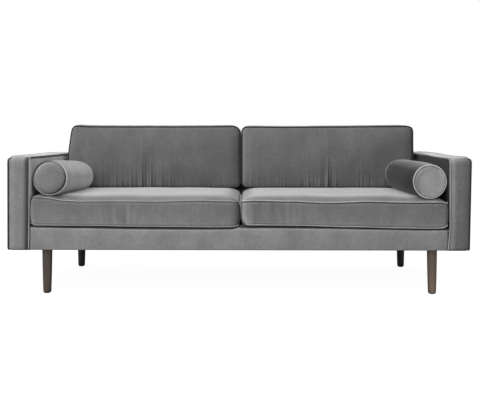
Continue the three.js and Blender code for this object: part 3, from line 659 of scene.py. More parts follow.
def eased(x, places, values):
    """Values at places, joined by smooth steps."""
    places, values = np.asarray(places, float), np.asarray(values, float)
    i = np.clip(np.searchsorted(places, x, side="right") - 1, 0, len(places) - 2)
    t = np.clip((x - places[i]) / (places[i + 1] - places[i]), 0, 1)
    return values[i] + (values[i + 1] - values[i]) * t * t * (3 - 2 * t)


def near(distance, reach, power=2):
    """1 at no distance, falling to 0 at the reach."""
    return np.clip(1 - distance / reach, 0, 1) ** power


def arc_depth(distance, radius):
    """Depth of a quarter round below its side, at distances from the edge that it rounds off."""
    inside = radius - np.clip(distance, 0, radius)
    return radius - np.sqrt(radius**2 - inside**2)


def pucker_rows(rng, count, span, heights, widths, reach):
    """Random puckers: place along a seam, height, half width and reach away from the seam."""
    return [
        (
            rng.uniform(*span),
            rng.uniform(*heights) * rng.choice([-1, 1, 1]),
            rng.uniform(*widths),
            rng.uniform(*reach),
        )
        for _ in range(count)
    ]


def puckered(along, away, rows):
    """Height of puckers at places along a seam and away from it."""
    total = np.zeros_like(along)
    for place, height, width, reach in rows:
        ridge = np.exp(-(((along - place) / width) ** 2))
        total += height * ridge * np.exp(-away / reach) * (1 - np.exp(-away / 0.006))
    return total


def waves(x, y, rng, scale, height, count=7):
    """Soft unevenness from a few waves in random directions."""
    total = np.zeros_like(x)
    for _ in range(count):
        angle = rng.uniform(0, 2 * math.pi)
        length = scale * rng.uniform(0.6, 1.6)
        phase = rng.uniform(0, 2 * math.pi)
        total += np.sin(2 * math.pi * (x * math.cos(angle) + y * math.sin(angle)) / length + phase)
    return height * total / math.sqrt(count)


def draw_in(form, depth, sides):
    """Pulls the sides in between the corners; sides are the shares at -x, +x, -y and +y."""
    for grid, u, v, _ in form.grids():
        grid[..., 0] -= depth * np.where(u < 0, sides[0], sides[1]) * u * (1 - v**2)
        grid[..., 1] -= depth * np.where(v < 0, sides[2], sides[3]) * v * (1 - u**2)


def swell_border(form, depth):
    form.border += (form.outward()[None] * depth) * (np.sin(np.pi * form.t) ** 0.7)[..., None]
    form.share_seams()


PUCKER_FADE = (0.25, 0.8)  # share of the border in which a pucker dies away


def border_puckers(form, rng, count, heights, widths=(0.006, 0.014), span=None):
    """Creases across the border, each from one seam towards the other."""
    place, length = form.around()
    span = span or (0, length)
    total = np.zeros((len(form.border), len(place)))
    arch = np.sin(np.pi * form.t) ** 0.5
    for _ in range(count):
        at, width = rng.uniform(*span), rng.uniform(*widths)
        height = rng.uniform(*heights) * rng.choice([-1, 1])
        gap = np.abs(place - at)
        gap = np.minimum(gap, length - gap)
        edge = form.t if rng.random() < 0.5 else 1 - form.t
        fade = np.exp(-edge / rng.uniform(*PUCKER_FADE))
        total += height * np.exp(-((gap / width) ** 2))[None] * fade * arch
    form.border += form.outward()[None] * total[..., None]
    form.share_seams()


def placed(points, to_world):
    return points @ to_world[:3, :3].T + to_world[:3, 3]


def axes(x_axis, y_axis, z_axis, origin):
    matrix = np.eye(4)
    matrix[:3, 0], matrix[:3, 1], matrix[:3, 2], matrix[:3, 3] = x_axis, y_axis, z_axis, origin
    return matrix


def smoothed_loop(path, passes=2):
    for _ in range(passes):
        path = (np.roll(path, 1, 0) + 2 * path + np.roll(path, -1, 0)) / 4
    return path


def add_cushion(name, form, to_world, fill, material, welt_material, shades, welt_shade=0.0):
    """The cushion's mesh with its two lines of piping, in place of the node of the same name."""
    piece = mesh_object(
        name + "_velvet", placed(form.points(), to_world), form.faces(), material, form.flat(shades)
    )
    finish_piece(piece, name, "velvet", name)
    welts = [
        tube(placed(smoothed_loop(form.seam_path(level)), to_world), PIPING_RADIUS, closed=True)
        for level in (0, -1)
    ]
    # Painted shade on the piping, from welt_shade
    painted_shade = np.tile(np.repeat(welt_shade * np.ones(len(form.loop_u)), PIPING_SIDES), 2)
    welt = mesh_object(name + "_piping", *joined(welts), welt_material, painted_shade)
    finish_piece(welt, name, "velvet")


# Seat cushions
SEAT_CROWN = 0.027
SEAT_WIDER = 0.0022  # towards the arm
SEAT_RADII = {"left": (0.012, 0.009, 0.02, 0.02), "right": (0.012, 0.012, 0.02, 0.02)}
SEAT_DRAW_IN = (0.005, 0.8, 0.6)  # of the sides; less at the gap by a share, and share at the front
SEAT_SWELL = 0.004
SEAT_SIM_CROWN = 0.005
SEAT_SIM_CAP = 0.009
SEAT_PARTS = (3, 2, 2)
SEAT_WAVES = (0.3, 0.0009)  # length and height
SEAT_FILLING = (0.012, 0.09)  # rise of the face, and how far from its seams it is full
SEAT_PUCKERS = ((0.0003, 0.001), (0.005, 0.01), (0.01, 0.025))  # heights, half widths and reaches
SEAT_FINE_CREASES = (80, (0.0001, 0.0005), (0.005, 0.012))  # count, heights and half widths
SEAT_DEEP_CREASES = (24, (0.0005, 0.0016), (0.006, 0.012))
SEAT_ROLL = ((0.0055, 0.02), (0.0055, 0.018))  # depth and width, on the face and on the border
SEAT_TOP = {  # rise of the front top seam, at places from -1 to 1 across
    "left": (
        [-1, -0.97, -0.85, -0.67, -0.53, -0.15, 0.235, 0.62, 0.91, 1],
        [19, 22, 17, 4, 0, 1, 0, 5, 2, 0],
    ),
    "right": ([-1, -0.87, -0.53, -0.14, 0.245, 0.63, 0.92, 1], [3, 5, 2, -5, 1, -3, -2, -8]),
}
SEAT_FOOT = {  # rise of the front bottom seam
    "left": ([-1, -0.4, 0.1, 0.8, 1], [2, 0, -4, -5.5, -4]),
    "right": ([-1, -0.9, -0.42, 0.06, 0.54, 0.83, 1], [4, 4, 2, -4, -9, -11, -8]),
}
SEAT_INNER_END = {  # shift of the end beside the other cushion, from its foot to its top
    "left": ([0, 0.16, 0.44, 0.84, 0.93, 1], [0, 0, 3, 2.5, -0.5, -4]),
    "right": ([0, 0.16, 0.44, 0.84, 0.93, 1], [0, 0, 3, 5, 2, -1.5]),
}
SEAT_TOP_FADE = 0.28  # distance from the front in which the rise of the top seam dies away
SEAT_FOOT_REACH = 0.035
PUCKERED_BORDER = {"left": (0.33, 0.55), "right": (0.02, 0.3)}  # along the border from its front left
INNER_CORNER = (0.034, 0.07)  # worn front corners: reach from the end and from the front
OUTER_CORNER = (0.03, 0.06)
INNER_CORNER_DROP = 0.003
INNER_CORNER_RISE = 0.006
OUTER_CORNER_RISE = 0.012
INNER_SHIFT = (0.0078, 0.0032)  # of the ends beside the gap, and how the right one differs
INNER_SHIFT_REACH = 0.3
INNER_END_REACH = 0.1
INNER_FRONT = (0.011, 0.047, 0.12)  # setback of the front beside the gap, and its reaches
SHOULDER = (0.009, 0.05, 0.032, 0.2)  # shift of the left one's outer top edge, and its reaches
LOW_CORNER = (0.013, 0.05, 0.08, 0.042)  # shift of the right one's foot at the gap, and its reaches
GAP_WALL = (0.8, 0.006, 0.004)  # shade of a wall in the gap, its reach, and how soon it starts
GAP_TURN = (0.4, 0.045)  # shade of the left one's front beside the gap, and its reach
GAP_PIPING_REACH = 0.012
UNDER_PIPING = (0.011, 0.02)  # reach of the shade below the right one's top piping, down and back


def seat_cushion(side, sign, rng):
    name = f"{side}_seat_cushion"
    low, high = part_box(name)
    edge_top = high.z - SEAT_CROWN
    inset = PIPING_PROUD
    width = high.x - low.x - 2 * inset + SEAT_WIDER
    form = BoxedForm((width, high.y - low.y - 2 * inset, edge_top - low.z - 2 * inset), SEAT_RADII[side])
    size = form.size
    centre = ((low.x + high.x + sign * SEAT_WIDER) / 2, (low.y + high.y) / 2, (low.z + edge_top) / 2)
    to_world = axes((1, 0, 0), (0, 1, 0), (0, 0, 1), centre)
    depth, less, front = SEAT_DRAW_IN
    draw_in(form, depth, (1 - less * (sign > 0), 1 - less * (sign < 0), front, 1))
    swell_border(form, SEAT_SWELL)
    form.face[..., 2] += crown(form.u, form.v, SEAT_SIM_CROWN)
    inflate(form, to_world, SEAT_SIM_CAP)
    form.refine(SEAT_PARTS)
    half_x, half_y = size[0] / 2, size[1] / 2
    x, y = form.face[..., 0], form.face[..., 1]
    form.face[..., 2] += waves(x, y, rng, *SEAT_WAVES) * form.inner_share()
    rise, reach = SEAT_FILLING
    form.face[..., 2] += rise * (1 - near(form.edge_distance(), reach))
    form.face[..., 2] += puckered(x, y + half_y, pucker_rows(rng, 40, (-half_x, half_x), *SEAT_PUCKERS))
    border_puckers(form, rng, *SEAT_FINE_CREASES)
    border_puckers(form, rng, *SEAT_DEEP_CREASES, PUCKERED_BORDER[side])
    form.roll_seams(*SEAT_ROLL)
    shape_seat(form, side, sign, half_x, half_y)
    shades = gap_shades(form, side, sign, half_x, half_y)
    add_cushion(name, form, to_world, 0.75, VELVET["seat"], VELVET[f"{side}_seat_piping"], *shades)


def shape_seat(form, side, sign, half_x, half_y):
    """Lifts and lowers the seams the way long use and a soft filling leave them."""
    for grid, u, v, t in form.grids():
        across, along = u * half_x, v * half_y
        from_front = along + half_y
        from_middle = half_x + sign * across
        from_arm = 2 * half_x - from_middle
        top = MM * eased(u, *SEAT_TOP[side]) * np.exp(-from_front / SEAT_TOP_FADE)
        foot = MM * eased(u, *SEAT_FOOT[side]) * near(from_front, SEAT_FOOT_REACH, 1.5)
        corner = near(from_middle, INNER_CORNER[0]) * near(from_front, INNER_CORNER[1])
        outer_corner = near(from_arm, OUTER_CORNER[0]) * near(from_front, OUTER_CORNER[1])
        top = top - INNER_CORNER_DROP * corner
        foot = foot + INNER_CORNER_RISE * corner + OUTER_CORNER_RISE * outer_corner
        grid[..., 2] += top * t + foot * (1 - t)
        shift, difference = INNER_SHIFT
        grid[..., 0] += (shift + sign * difference) * near(from_middle, INNER_SHIFT_REACH, 1)
        grid[..., 0] += MM * eased(t, *SEAT_INNER_END[side]) * near(from_middle, INNER_END_REACH, 1)
        setback, across_reach, back_reach = INNER_FRONT
        grid[..., 1] += setback * near(from_middle, across_reach) * near(from_front, back_reach, 1)
        if side == "left":
            shift, across_reach, down_reach, back_reach = SHOULDER
            edge = near(from_arm, across_reach, 1) * near((1 - t) * form.size[2], down_reach, 1.5)
            grid[..., 0] += shift * edge * near(from_front, back_reach, 1)
        else:
            shift, across_reach, back_reach, up_reach = LOW_CORNER
            edge = near(from_middle, across_reach, 1) * near(from_front, back_reach)
            grid[..., 0] += shift * (edge * near(t * form.size[2], up_reach, 1))
    form.share_seams()


def gap_shades(form, side, sign, half_x, half_y):
    """Painted shade beside the seams, on the walls of the gap between the cushions, on the left one's front where
    it turns into the gap and below the right one's top piping, for each grid and for the piping.
    """
    shades = form.painted_seam_shades()
    from_middle, from_front = half_x * (1 + sign * form.loop_u), half_y * (1 + form.loop_v)
    wall_shade, wall_reach, start = GAP_WALL
    turn_shade, turn_reach = GAP_TURN
    behind_front = 1 - near(from_front, start, 1)
    wall = wall_shade * near(from_middle, wall_reach, 0.5) * behind_front
    turn = turn_shade * near(from_middle, turn_reach, 1) * (side == "left")
    below = near((1 - form.t) * form.size[2], UNDER_PIPING[0], 0.15) * near(from_front, UNDER_PIPING[1], 0.1)
    shades[2] = np.maximum(shades[2], np.maximum(wall, turn)[None])
    shades[2] = np.maximum(shades[2], below * (side == "right"))
    return shades, near(from_middle, GAP_PIPING_REACH, 0.5) * behind_front


# Back cushions
BACK_THICKNESS = 0.152
BACK_NARROWER = 0.004  # on the side of the arm
BACK_RADII = {"left": (0.03, 0.03, 0.042, 0.024), "right": (0.03, 0.03, 0.034, 0.03)}
BACK_DRAW_IN = (0.005, 0.8)  # of the sides, and its share at the top
BACK_SWELL = 0.0032
BACK_SIM_CROWN = (0.017, 2.6)  # height and power
BACK_SIM_CAP = 0.008
BACK_PARTS = (5, 2, 2)
BACK_WAVES = (0.25, 0.0013)
BACK_FOOT_PUCKERS = ((0.0005, 0.0018), (0.003, 0.006), (0.012, 0.045))
BACK_TOP_PUCKERS = ((0.0001, 0.0004), (0.007, 0.014), (0.01, 0.03))
BACK_CREASES = (40, (0.0002, 0.0006))
BACK_ROLL = ((0.0055, 0.022), (0.005, 0.018))
BACK_PUCKERS = {  # place along the foot seam in metres; height, half width and reach in mm
    "left": (
        (-0.285, 3.0, 9, 60), (-0.24, -2.0, 10, 55), (-0.205, 3.2, 8, 70), (-0.16, -2.4, 9, 60),
        (-0.12, 3.0, 9, 70), (-0.085, -3.0, 8, 75), (-0.06, 5.0, 8, 95), (-0.034, -3.6, 7, 80),
        (-0.008, 5.0, 8, 90), (0.02, -2.6, 8, 60), (0.05, 2.6, 9, 60), (0.1, 2.4, 9, 50),
    ),
    "right": (
        (-0.43, 3.0, 9, 45), (-0.39, 2.0, 8, 40), (-0.11, 3.0, 8, 60), (-0.075, -2.4, 8, 55),
        (-0.045, 2.6, 8, 60), (-0.022, -3.4, 7, 75), (-0.002, 5.5, 7, 100), (0.022, -3.0, 7, 70),
        (0.045, 2.4, 8, 55), (0.165, 2.4, 8, 50), (0.19, 3.4, 8, 60), (0.235, -1.8, 9, 45),
    ),
}
BACK_PUCKER_SCALES = (1.3, 0.58, 0.9)  # of their heights, half widths and reaches
BACK_CORNER_SHIFT = 0.022  # of the left one's upper corner at the arm, towards the middle
BACK_END_SHIFT = 0.005  # of the ends beside the middle, to the right
BACK_TOP = {  # rise of the top seam
    "left": ([-1, -0.93, -0.8, 0, 0.9, 1], [0, 3, 0, 1, 0, -1]),
    "right": ([-1, -0.5, 0, 0.6, 1], [-3, -3, 0, 1, 0]),
}


def back_cushion(side, sign, rng):
    name = f"{side}_back_cushion"
    low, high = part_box(name)
    joint = next(j for j in frame["joints"] if j["child"] == name)
    lean = joint["axis"][1] / joint["axis"][2]
    inset = PIPING_PROUD
    width, height = high.x - low.x - 2 * inset - BACK_NARROWER, high.z - low.z
    form = BoxedForm((width, height - 2 * inset, BACK_THICKNESS - 2 * inset), BACK_RADII[side])
    size = form.size
    centre_y = high.y - height * lean + height / 2 * lean - BACK_THICKNESS / 2
    centre = ((low.x + high.x - sign * BACK_NARROWER) / 2, centre_y, (low.z + high.z) / 2)
    to_world = axes((1, 0, 0), (0, lean, 1), (0, -1, 0), centre)
    depth, top = BACK_DRAW_IN
    draw_in(form, depth, (1 - (sign > 0), 1 - (sign < 0), 0, top))
    swell_border(form, BACK_SWELL)
    form.face[..., 2] += crown(form.u, form.v, *BACK_SIM_CROWN)
    inflate(form, to_world, BACK_SIM_CAP)
    form.refine(BACK_PARTS)
    half_x, half_y = size[0] / 2, size[1] / 2
    x, y = form.face[..., 0], form.face[..., 1]
    form.face[..., 2] += waves(x, y, rng, *BACK_WAVES) * form.inner_share()
    rows = [
        (at, *(scale * value * MM for scale, value in zip(BACK_PUCKER_SCALES, values)))
        for at, *values in BACK_PUCKERS[side]
    ]
    span = (-half_x * 0.9, half_x * 0.9)
    rows += pucker_rows(rng, 60, span, *BACK_FOOT_PUCKERS)
    form.face[..., 2] += puckered(x, y + half_y, rows)
    rows = pucker_rows(rng, 16, (-half_x, half_x), *BACK_TOP_PUCKERS)
    form.face[..., 2] += puckered(x, half_y - y, rows)
    border_puckers(form, rng, *BACK_CREASES)
    form.roll_seams(*BACK_ROLL)
    for grid, u, v, t in form.grids():
        if side == "left":
            grid[..., 0] += BACK_CORNER_SHIFT * np.clip(v, 0, 1) ** 1.5 * near(1 + u, 0.5, 1.5)
        grid[..., 0] += BACK_END_SHIFT * near(1 + sign * u, 0.5, 1)
        grid[..., 1] += MM * eased(u, *BACK_TOP[side]) * np.clip(v, 0, 1) ** 2
    form.share_seams()
    # Painted shade beside its seams
    add_cushion(name, form, to_world, 0.7, VELVET["back"], VELVET["back_piping"], form.painted_seam_shades(0.014))


# Bolsters
BOLSTER_AROUND = 120
BOLSTER_RINGS = (0.0, 1.0, 2.2, 3.8, 6.0, 9.0, 13.0, 19.0)  # mm from the end seam along the body
BOLSTER_EVEN_RINGS = 44  # over the rest of the body
BOLSTER_EVEN_START = 0.028
BOLSTER_CAP_GAPS = (  # from the end seam inwards
    0.0012, 0.0028, 0.005, 0.008, 0.012, 0.018, 0.027, 0.039, 0.053, 0.066
)
BOLSTER_END = {"left": 0.0823, "right": 0.0808}  # radius at the end seams
BOLSTER_MIDDLE = 0.088
BOLSTER_ROLL = 0.0048  # how deep the body rolls into its end seams
BOLSTER_ROLL_REACH = 0.012
BOLSTER_RIPPLES = (0.0011, 0.0008)  # heights of two slow waves round the body
BOLSTER_DOME = 0.009
BOLSTER_SINK = 0.003  # an end's rim, behind its piping
BOLSTER_SINK_REACH = 0.008
BOLSTER_END_INSET = 0.0015
BOLSTER_GATHERS = 34
BOLSTER_BODY_FOLDS = (0.001, 0.022, 0.004)  # height, and gaps in which they die away and set in
BOLSTER_END_FOLDS = (0.0018, 0.006, 0.002)
BOLSTER_BODY_SHADE_REACH = 0.016
BOLSTER_END_SHADE_REACH = 0.013
BOLSTER_END_SHADE = (0.55, 0.45, 0.6)  # mean, swing and turn of its darkest place
BOLSTER_REAR_WELT_SHADE = 0.77  # on the right bolster
BOLSTER_LINE = {  # centres of the front and rear ends, across and up
    "left": ((0.908, 0.5640), (0.900, 0.5400)),
    "right": ((0.9125, 0.5465), (0.8815, 0.5530)),
}


def gathered(heights, gap, folds):
    """Heights of gathers at a gap from their seam."""
    _, fade, start = folds
    return heights * math.exp(-gap / fade) * (1 - math.exp(-gap / start))


def bolster(side, sign, rng):
    name = f"{side}_bolster"
    low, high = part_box(name)
    (x0, z0), (x1, z1) = BOLSTER_LINE[side]
    start = np.array([sign * x0, low.y + BOLSTER_END_INSET, z0])
    end = np.array([sign * x1, high.y - BOLSTER_END_INSET, z1])
    length = np.linalg.norm(end - start)
    along = (end - start) / length
    across = np.cross(along, (0, 0, 1))
    across /= np.linalg.norm(across)
    up = np.cross(across, along)
    end_radius = BOLSTER_END[side]
    half = length / 2 - BOLSTER_DOME
    around = BOLSTER_AROUND
    angle = 2 * math.pi * np.arange(around) / around

    def ring(radius, y):
        return np.stack([radius * np.cos(angle), np.full(around, 1.0) * y, radius * np.sin(angle)], -1)

    def gathers(height):
        total = np.zeros_like(angle)
        for _ in range(BOLSTER_GATHERS):
            at, width = rng.uniform(0, 2 * math.pi), rng.uniform(0.03, 0.08)
            gap = np.abs((angle - at + math.pi) % (2 * math.pi) - math.pi)
            total += rng.choice([-1, 1]) * height * np.exp(-((gap / width) ** 2))
        return total

    steps = np.array(BOLSTER_RINGS) * MM
    even = np.linspace(-half + BOLSTER_EVEN_START, half - BOLSTER_EVEN_START, BOLSTER_EVEN_RINGS)
    places = np.concatenate([-half + steps, even, half - steps[::-1]])
    body_gathers = {way: gathers(BOLSTER_BODY_FOLDS[0]) for way in (-1, 1)}
    end_gathers = {way: gathers(BOLSTER_END_FOLDS[0]) for way in (-1, 1)}
    mean, swing, turn = BOLSTER_END_SHADE
    # toward is the lower right on the left bolster; it sets where the painted shade on an end and on its piping
    # falls
    toward = np.cos(angle + turn) * -sign  # lower right on the left bolster
    slow, fast = BOLSTER_RIPPLES
    rings, painted_shade = [], []
    for y in places:
        share, gap = y / half, half - abs(y)
        radius = end_radius + (BOLSTER_MIDDLE - end_radius) * (1 - abs(share) ** 3.5)
        radius -= BOLSTER_ROLL * near(gap, BOLSTER_ROLL_REACH, 2.2)
        ripple = slow * np.cos(2 * angle + 3 * share) + fast * np.cos(3 * angle - 5 * share + sign)
        fold = gathered(body_gathers[1 if y > 0 else -1], gap, BOLSTER_BODY_FOLDS)
        rings.append(ring(radius + ripple * near(abs(share), 1, 0.5) + fold, y))
        # Painted shade on the body near the end seams
        painted_shade.append(near(gap, BOLSTER_BODY_SHADE_REACH, 1) * np.ones(around))
    seam_radius = end_radius - BOLSTER_ROLL
    for way in (-1, 1):
        cap = []
        cap_painted_shade = []
        for gap in BOLSTER_CAP_GAPS:
            radius = seam_radius - gap
            rise = BOLSTER_SINK * (1 - near(gap, BOLSTER_SINK_REACH, 2.2))
            rise += BOLSTER_DOME * (1 - (radius / seam_radius) ** 7)
            fold = gathered(end_gathers[way], gap, BOLSTER_END_FOLDS)
            cap.append(ring(radius, way * (half - BOLSTER_SINK + rise + fold)))
            # Painted shade near the end seam, varying round the end with toward
            cap_painted_shade.append(near(gap, BOLSTER_END_SHADE_REACH, 1) * (mean + swing * toward))
        rings = [*reversed(cap), *rings] if way < 0 else [*rings, *cap]
        painted_shade = [*reversed(cap_painted_shade), *painted_shade] if way < 0 else [*painted_shade, *cap_painted_shade]
    tip = half + BOLSTER_DOME
    vertices = np.concatenate([*rings, [[0, -tip, 0], [0, tip, 0]]])
    base, last = len(rings) * around, (len(rings) - 1) * around
    faces = ring_faces(len(rings), around)
    faces += [(base, (k + 1) % around, k) for k in range(around)]
    faces += [(last + k, last + (k + 1) % around, base + 1) for k in range(around)]
    matrix = axes(across, along, up, (start + end) / 2)
    painted_shade = np.append(np.concatenate(painted_shade), [0, 0])
    cap_quads, body_quads = len(BOLSTER_CAP_GAPS) * around, (len(places) - 1) * around
    panels = [1] * cap_quads + [0] * body_quads
    panels += [1] * (len(faces) - len(panels))
    finishes = [VELVET[f"{side}_bolster"], VELVET[f"{side}_bolster_end"]]
    piece = mesh_object(name + "_velvet", placed(vertices, matrix), faces, finishes, painted_shade, panels)
    finish_piece(piece, name, "velvet", name)
    radius = end_radius + PIPING_PROUD - PIPING_RADIUS
    welts = [
        tube(placed(ring(radius, way * (half - 0.0006)), matrix), PIPING_RADIUS, closed=True)
        for way in (-1, 1)
    ]
    # Painted shade on the left bolster's piping at the upper left, and a set painted shade on the right bolster's
    # rear piping
    shade = np.repeat(np.clip(-0.3 - toward, 0, 1) * (sign < 0), PIPING_SIDES)
    rear_shade = shade if sign < 0 else np.full_like(shade, BOLSTER_REAR_WELT_SHADE)
    shades = np.concatenate([shade, rear_shade])
    welt = mesh_object(name + "_piping", *joined(welts), VELVET[f"{side}_bolster_piping"], shades)
    finish_piece(welt, name, "velvet")


# Arms
ARM_CELL = 0.014
ARM_FRONT_RADIUS = 0.027
ARM_REAR_RADIUS = 0.018
ARM_FOOT_RADIUS = 0.004
ARM_WIDER = 0.0048  # padding that stands out on the outside
ARM_BULGE = 0.002
ARM_WAVES = (0.28, 0.0007)
ARM_CREASES = (40, (0.0003, 0.0008))
ARM_ROLL = ((0.003, 0.012), (0.009, 0.036))
ARM_FOOT = -0.0006  # the cover's underside over the foot of its form
ARM_FOOT_ROUND = 0.013
ARM_TOP_ROUND = {"left": 0.020, "right": 0.028}
ARM_TOP_ROUND_SHARE = 0.6  # of a quarter round's depth
ARM_LEAN = {"left": 0.0005, "right": 0.010}
ARM_LEFT_INNER_LEAN = 0.003  # towards the middle, at the top of the inner side
ARM_RIGHT_INNER_FOOT = (0.009, 0.11)  # how far it stands towards the middle, and its reach up
ARM_FRONT_FOOT = (0.006, 0.016, 0.05)  # how far it stands back, and its reaches up and back
ARM_TOP = {  # rise
    "left": ([-1, -0.55, 0.3, 1], [0.5, 1, 2.5, 1.5]),
    "right": ([-1, -0.6, -0.35, 0.3, 0.7, 1], [-3, -3.3, -3.2, 2.6, 3.7, 5]),
}
ARM_TOP_START = 0.6  # share of the height above which the top's changes set in
ARM_INNER_DROP = {
    "left": ([-1, -0.5, 0.3, 1], [6, 7.3, 9, 7.4]),
    "right": ([-1, -0.6, -0.1, 0.7, 0.85, 1], [7, 6, 6.3, 10, 9, 4]),
}
ARM_TOP_LIFT = 0.0072  # outer top edge, out of its rolled seam
ARM_TOP_LIFT_REACH = 0.036
ARM_REAR_PUFF = 0.004  # filling that stands up at the rear of the top
ARM_REAR_PUFF_REACH = 0.6  # in half depths of the arm
ARM_INNER_SINK = {"left": 0.0, "right": 0.004}  # front of the inner top edge
ARM_INNER_SINK_REACH = (0.9, 0.014)  # back, in half depths of the arm, and across
ARM_TOP_FRONT = {"left": 0.74, "right": 0.68}  # shade of the front of the top
ARM_TOP_FRONT_START = 0.02  # behind the front edge
ARM_SEAM_SHADE = (0.76, 0.74, 0.6)  # of all seams; more at the inner top one, less at the outer
ARM_INSIDE_SHADE = (0.88, 0.025, 0.06)  # below the seat: greatest, depth where it is, and reach
ARM_FOOT_SHADE_REACH = 0.008
ARM_WELT_FOOT = 0.0025  # end of the piping over the cover's underside
ARM_WELT_TURN = (0.006, 0.004)  # height at which the piping starts to turn in, and how far


def at_top(v):
    """1 at the top seam, falling to 0 a little below it."""
    return np.clip(10 * v - 9, 0, 1)


def arm(side, sign, rng):
    name = f"{side}_arm_cover"
    low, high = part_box(name)
    inset = PIPING_PROUD
    size = (high.y - low.y - 2 * inset, high.z - low.z - inset, high.x - low.x - 2 * inset + ARM_WIDER)
    radii = (ARM_FOOT_RADIUS, ARM_FOOT_RADIUS, ARM_REAR_RADIUS, ARM_FRONT_RADIUS)
    form = BoxedForm(size, radii, ARM_CELL)
    centre = (
        (low.x + high.x + sign * ARM_WIDER) / 2, (low.y + high.y) / 2, (low.z + high.z - inset) / 2
    )
    to_world = axes((0, 1, 0), (0, 0, 1), (1, 0, 0), centre)
    bulge = crown(form.u, form.v, ARM_BULGE, 6)
    form.face[..., 2] += bulge
    form.rear[..., 2] -= bulge
    form.refine()
    for panel, way in ((form.face, 1), (form.rear, -1)):
        unevenness = waves(panel[..., 0], panel[..., 1], rng, *ARM_WAVES)
        panel[..., 2] += way * unevenness * form.inner_share()
    border_puckers(form, rng, *ARM_CREASES)
    form.roll_seams(*ARM_ROLL)
    height = size[1]
    foot_back, foot_reach = ARM_RIGHT_INNER_FOOT
    front_back, up_reach, rear_reach = ARM_FRONT_FOOT
    sink_back, sink_across = ARM_INNER_SINK_REACH
    for grid, u, v, t in form.grids():
        above = (v + 1) / 2 * height
        up = above / height
        outer = (1 - t) if sign < 0 else t
        tuck = ARM_TOP_ROUND_SHARE * arc_depth(height - above, ARM_TOP_ROUND[side])
        tuck = arc_depth(above, ARM_FOOT_ROUND) + tuck
        inner_tuck = ARM_LEFT_INNER_LEAN * up if sign < 0 else foot_back * near(above, foot_reach, 1)
        grid[..., 2] -= sign * outer * (tuck + ARM_LEAN[side] * (1 - up))
        grid[..., 2] -= sign * (1 - outer) * inner_tuck
        grid[..., 0] += front_back * near(above, up_reach) * near(u + 1, rear_reach, 1)
        top = eased(u, *ARM_TOP[side]) - (1 - outer) * eased(u, *ARM_INNER_DROP[side])
        grid[..., 1] += MM * top * np.clip((up - ARM_TOP_START) / (1 - ARM_TOP_START), 0, 1)
        if grid is form.border:
            lift = ARM_TOP_LIFT * near((1 - outer) * size[2], ARM_TOP_LIFT_REACH, 2.5)
            lift = lift + ARM_REAR_PUFF * near(1 - u, ARM_REAR_PUFF_REACH, 1) * 4 * outer * (1 - outer)
            sink = ARM_INNER_SINK[side] * near(1 + u, sink_back, 1)
            lift = lift - sink * near(outer * size[2], sink_across, 1)
            grid[..., 1] += lift * at_top(v)
        grid[..., 1] = np.where(v <= -1, ARM_FOOT - height / 2, grid[..., 1])
    form.share_seams()
    for panel in (form.face, form.rear):
        panel[..., 1] = np.minimum(panel[..., 1], panel[:, -1:, 1])
    seat_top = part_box(f"{side}_seat_cushion")[1].z - low.z
    # Painted shade beside the seams, on the front of the top, on the inside panel below the seat top and along the
    # foot
    shades = []
    seam, inner_more, outer_less = ARM_SEAM_SHADE
    inside, below_seat, inside_reach = ARM_INSIDE_SHADE
    for (grid, u, v, t), nearness in zip(form.grids(), form.painted_seam_shades()):
        above = (v + 1) / 2 * height
        outer = (1 - t) if sign < 0 else t
        top = at_top(v)
        nearness = nearness * (seam + inner_more * (1 - outer) * top - outer_less * outer * top)
        if grid is form.border:
            behind = np.clip((1 + u) * size[0] / 2 / ARM_TOP_FRONT_START, 0, 1) * (v >= 1)
            nearness = np.maximum(nearness, ARM_TOP_FRONT[side] * behind * near(1 + u, 1.2, 0.2))
        shadow = inside * near(above - seat_top + below_seat, inside_reach, 1) * (outer == 0)
        foot = near(above - ARM_FOOT, ARM_FOOT_SHADE_REACH, 1) * np.ones_like(nearness)
        shades.append(np.clip(np.maximum(np.maximum(nearness, shadow), foot), 0, 1))
    panel_velvets = [VELVET["arm_outside" if panel == side else "arm_inside"] for panel in ("right", "left")]
    piece = mesh_object(
        f"{side}_arm_upholstery",
        placed(form.points(), to_world),
        form.faces(),
        [*panel_velvets, VELVET[f"{side}_arm"]],
        form.flat(shades),
        form.panels(),
    )
    finish_piece(piece, "sofa_frame", "velvet", name)
    for level, place in ((0, "left"), (-1, "right")):
        path = form.seam_path(level)
        if place == side:
            path[:, 1] -= (ARM_TOP_LIFT + 0.0004) * at_top(form.loop_v)
        above = path[:, 1] > ARM_FOOT - height / 2 + ARM_WELT_TURN[0]
        first = int(np.argmax(above & ~np.roll(above, 1)))
        ordered = np.roll(path, -first, 0)[: int(above.sum())]
        foot = ordered[[0, -1]].copy()
        if place == side:
            reached = ordered[[0, -1], 1] + height / 2
            rounded = arc_depth(ARM_FOOT + ARM_WELT_FOOT, ARM_FOOT_ROUND)
            foot[:, 2] -= sign * (rounded - arc_depth(reached, ARM_FOOT_ROUND))
        foot[:, 1] = ARM_FOOT - height / 2 + ARM_WELT_FOOT
        turn = ARM_WELT_TURN[1]
        foot[:, 0] += (turn, -turn) if ordered[0, 0] < 0 else (-turn, turn)
        ordered = np.concatenate([foot[:1], ordered, foot[1:]])
        inner = place != side
        welt = mesh_object(
            f"{side}_arm_{'inner' if inner else 'outer'}_piping",
            *tube(placed(ordered, to_world), PIPING_RADIUS, closed=False),
            VELVET["inner_piping" if inner else "arm_piping"],
        )
        finish_piece(welt, "sofa_frame", "velvet")


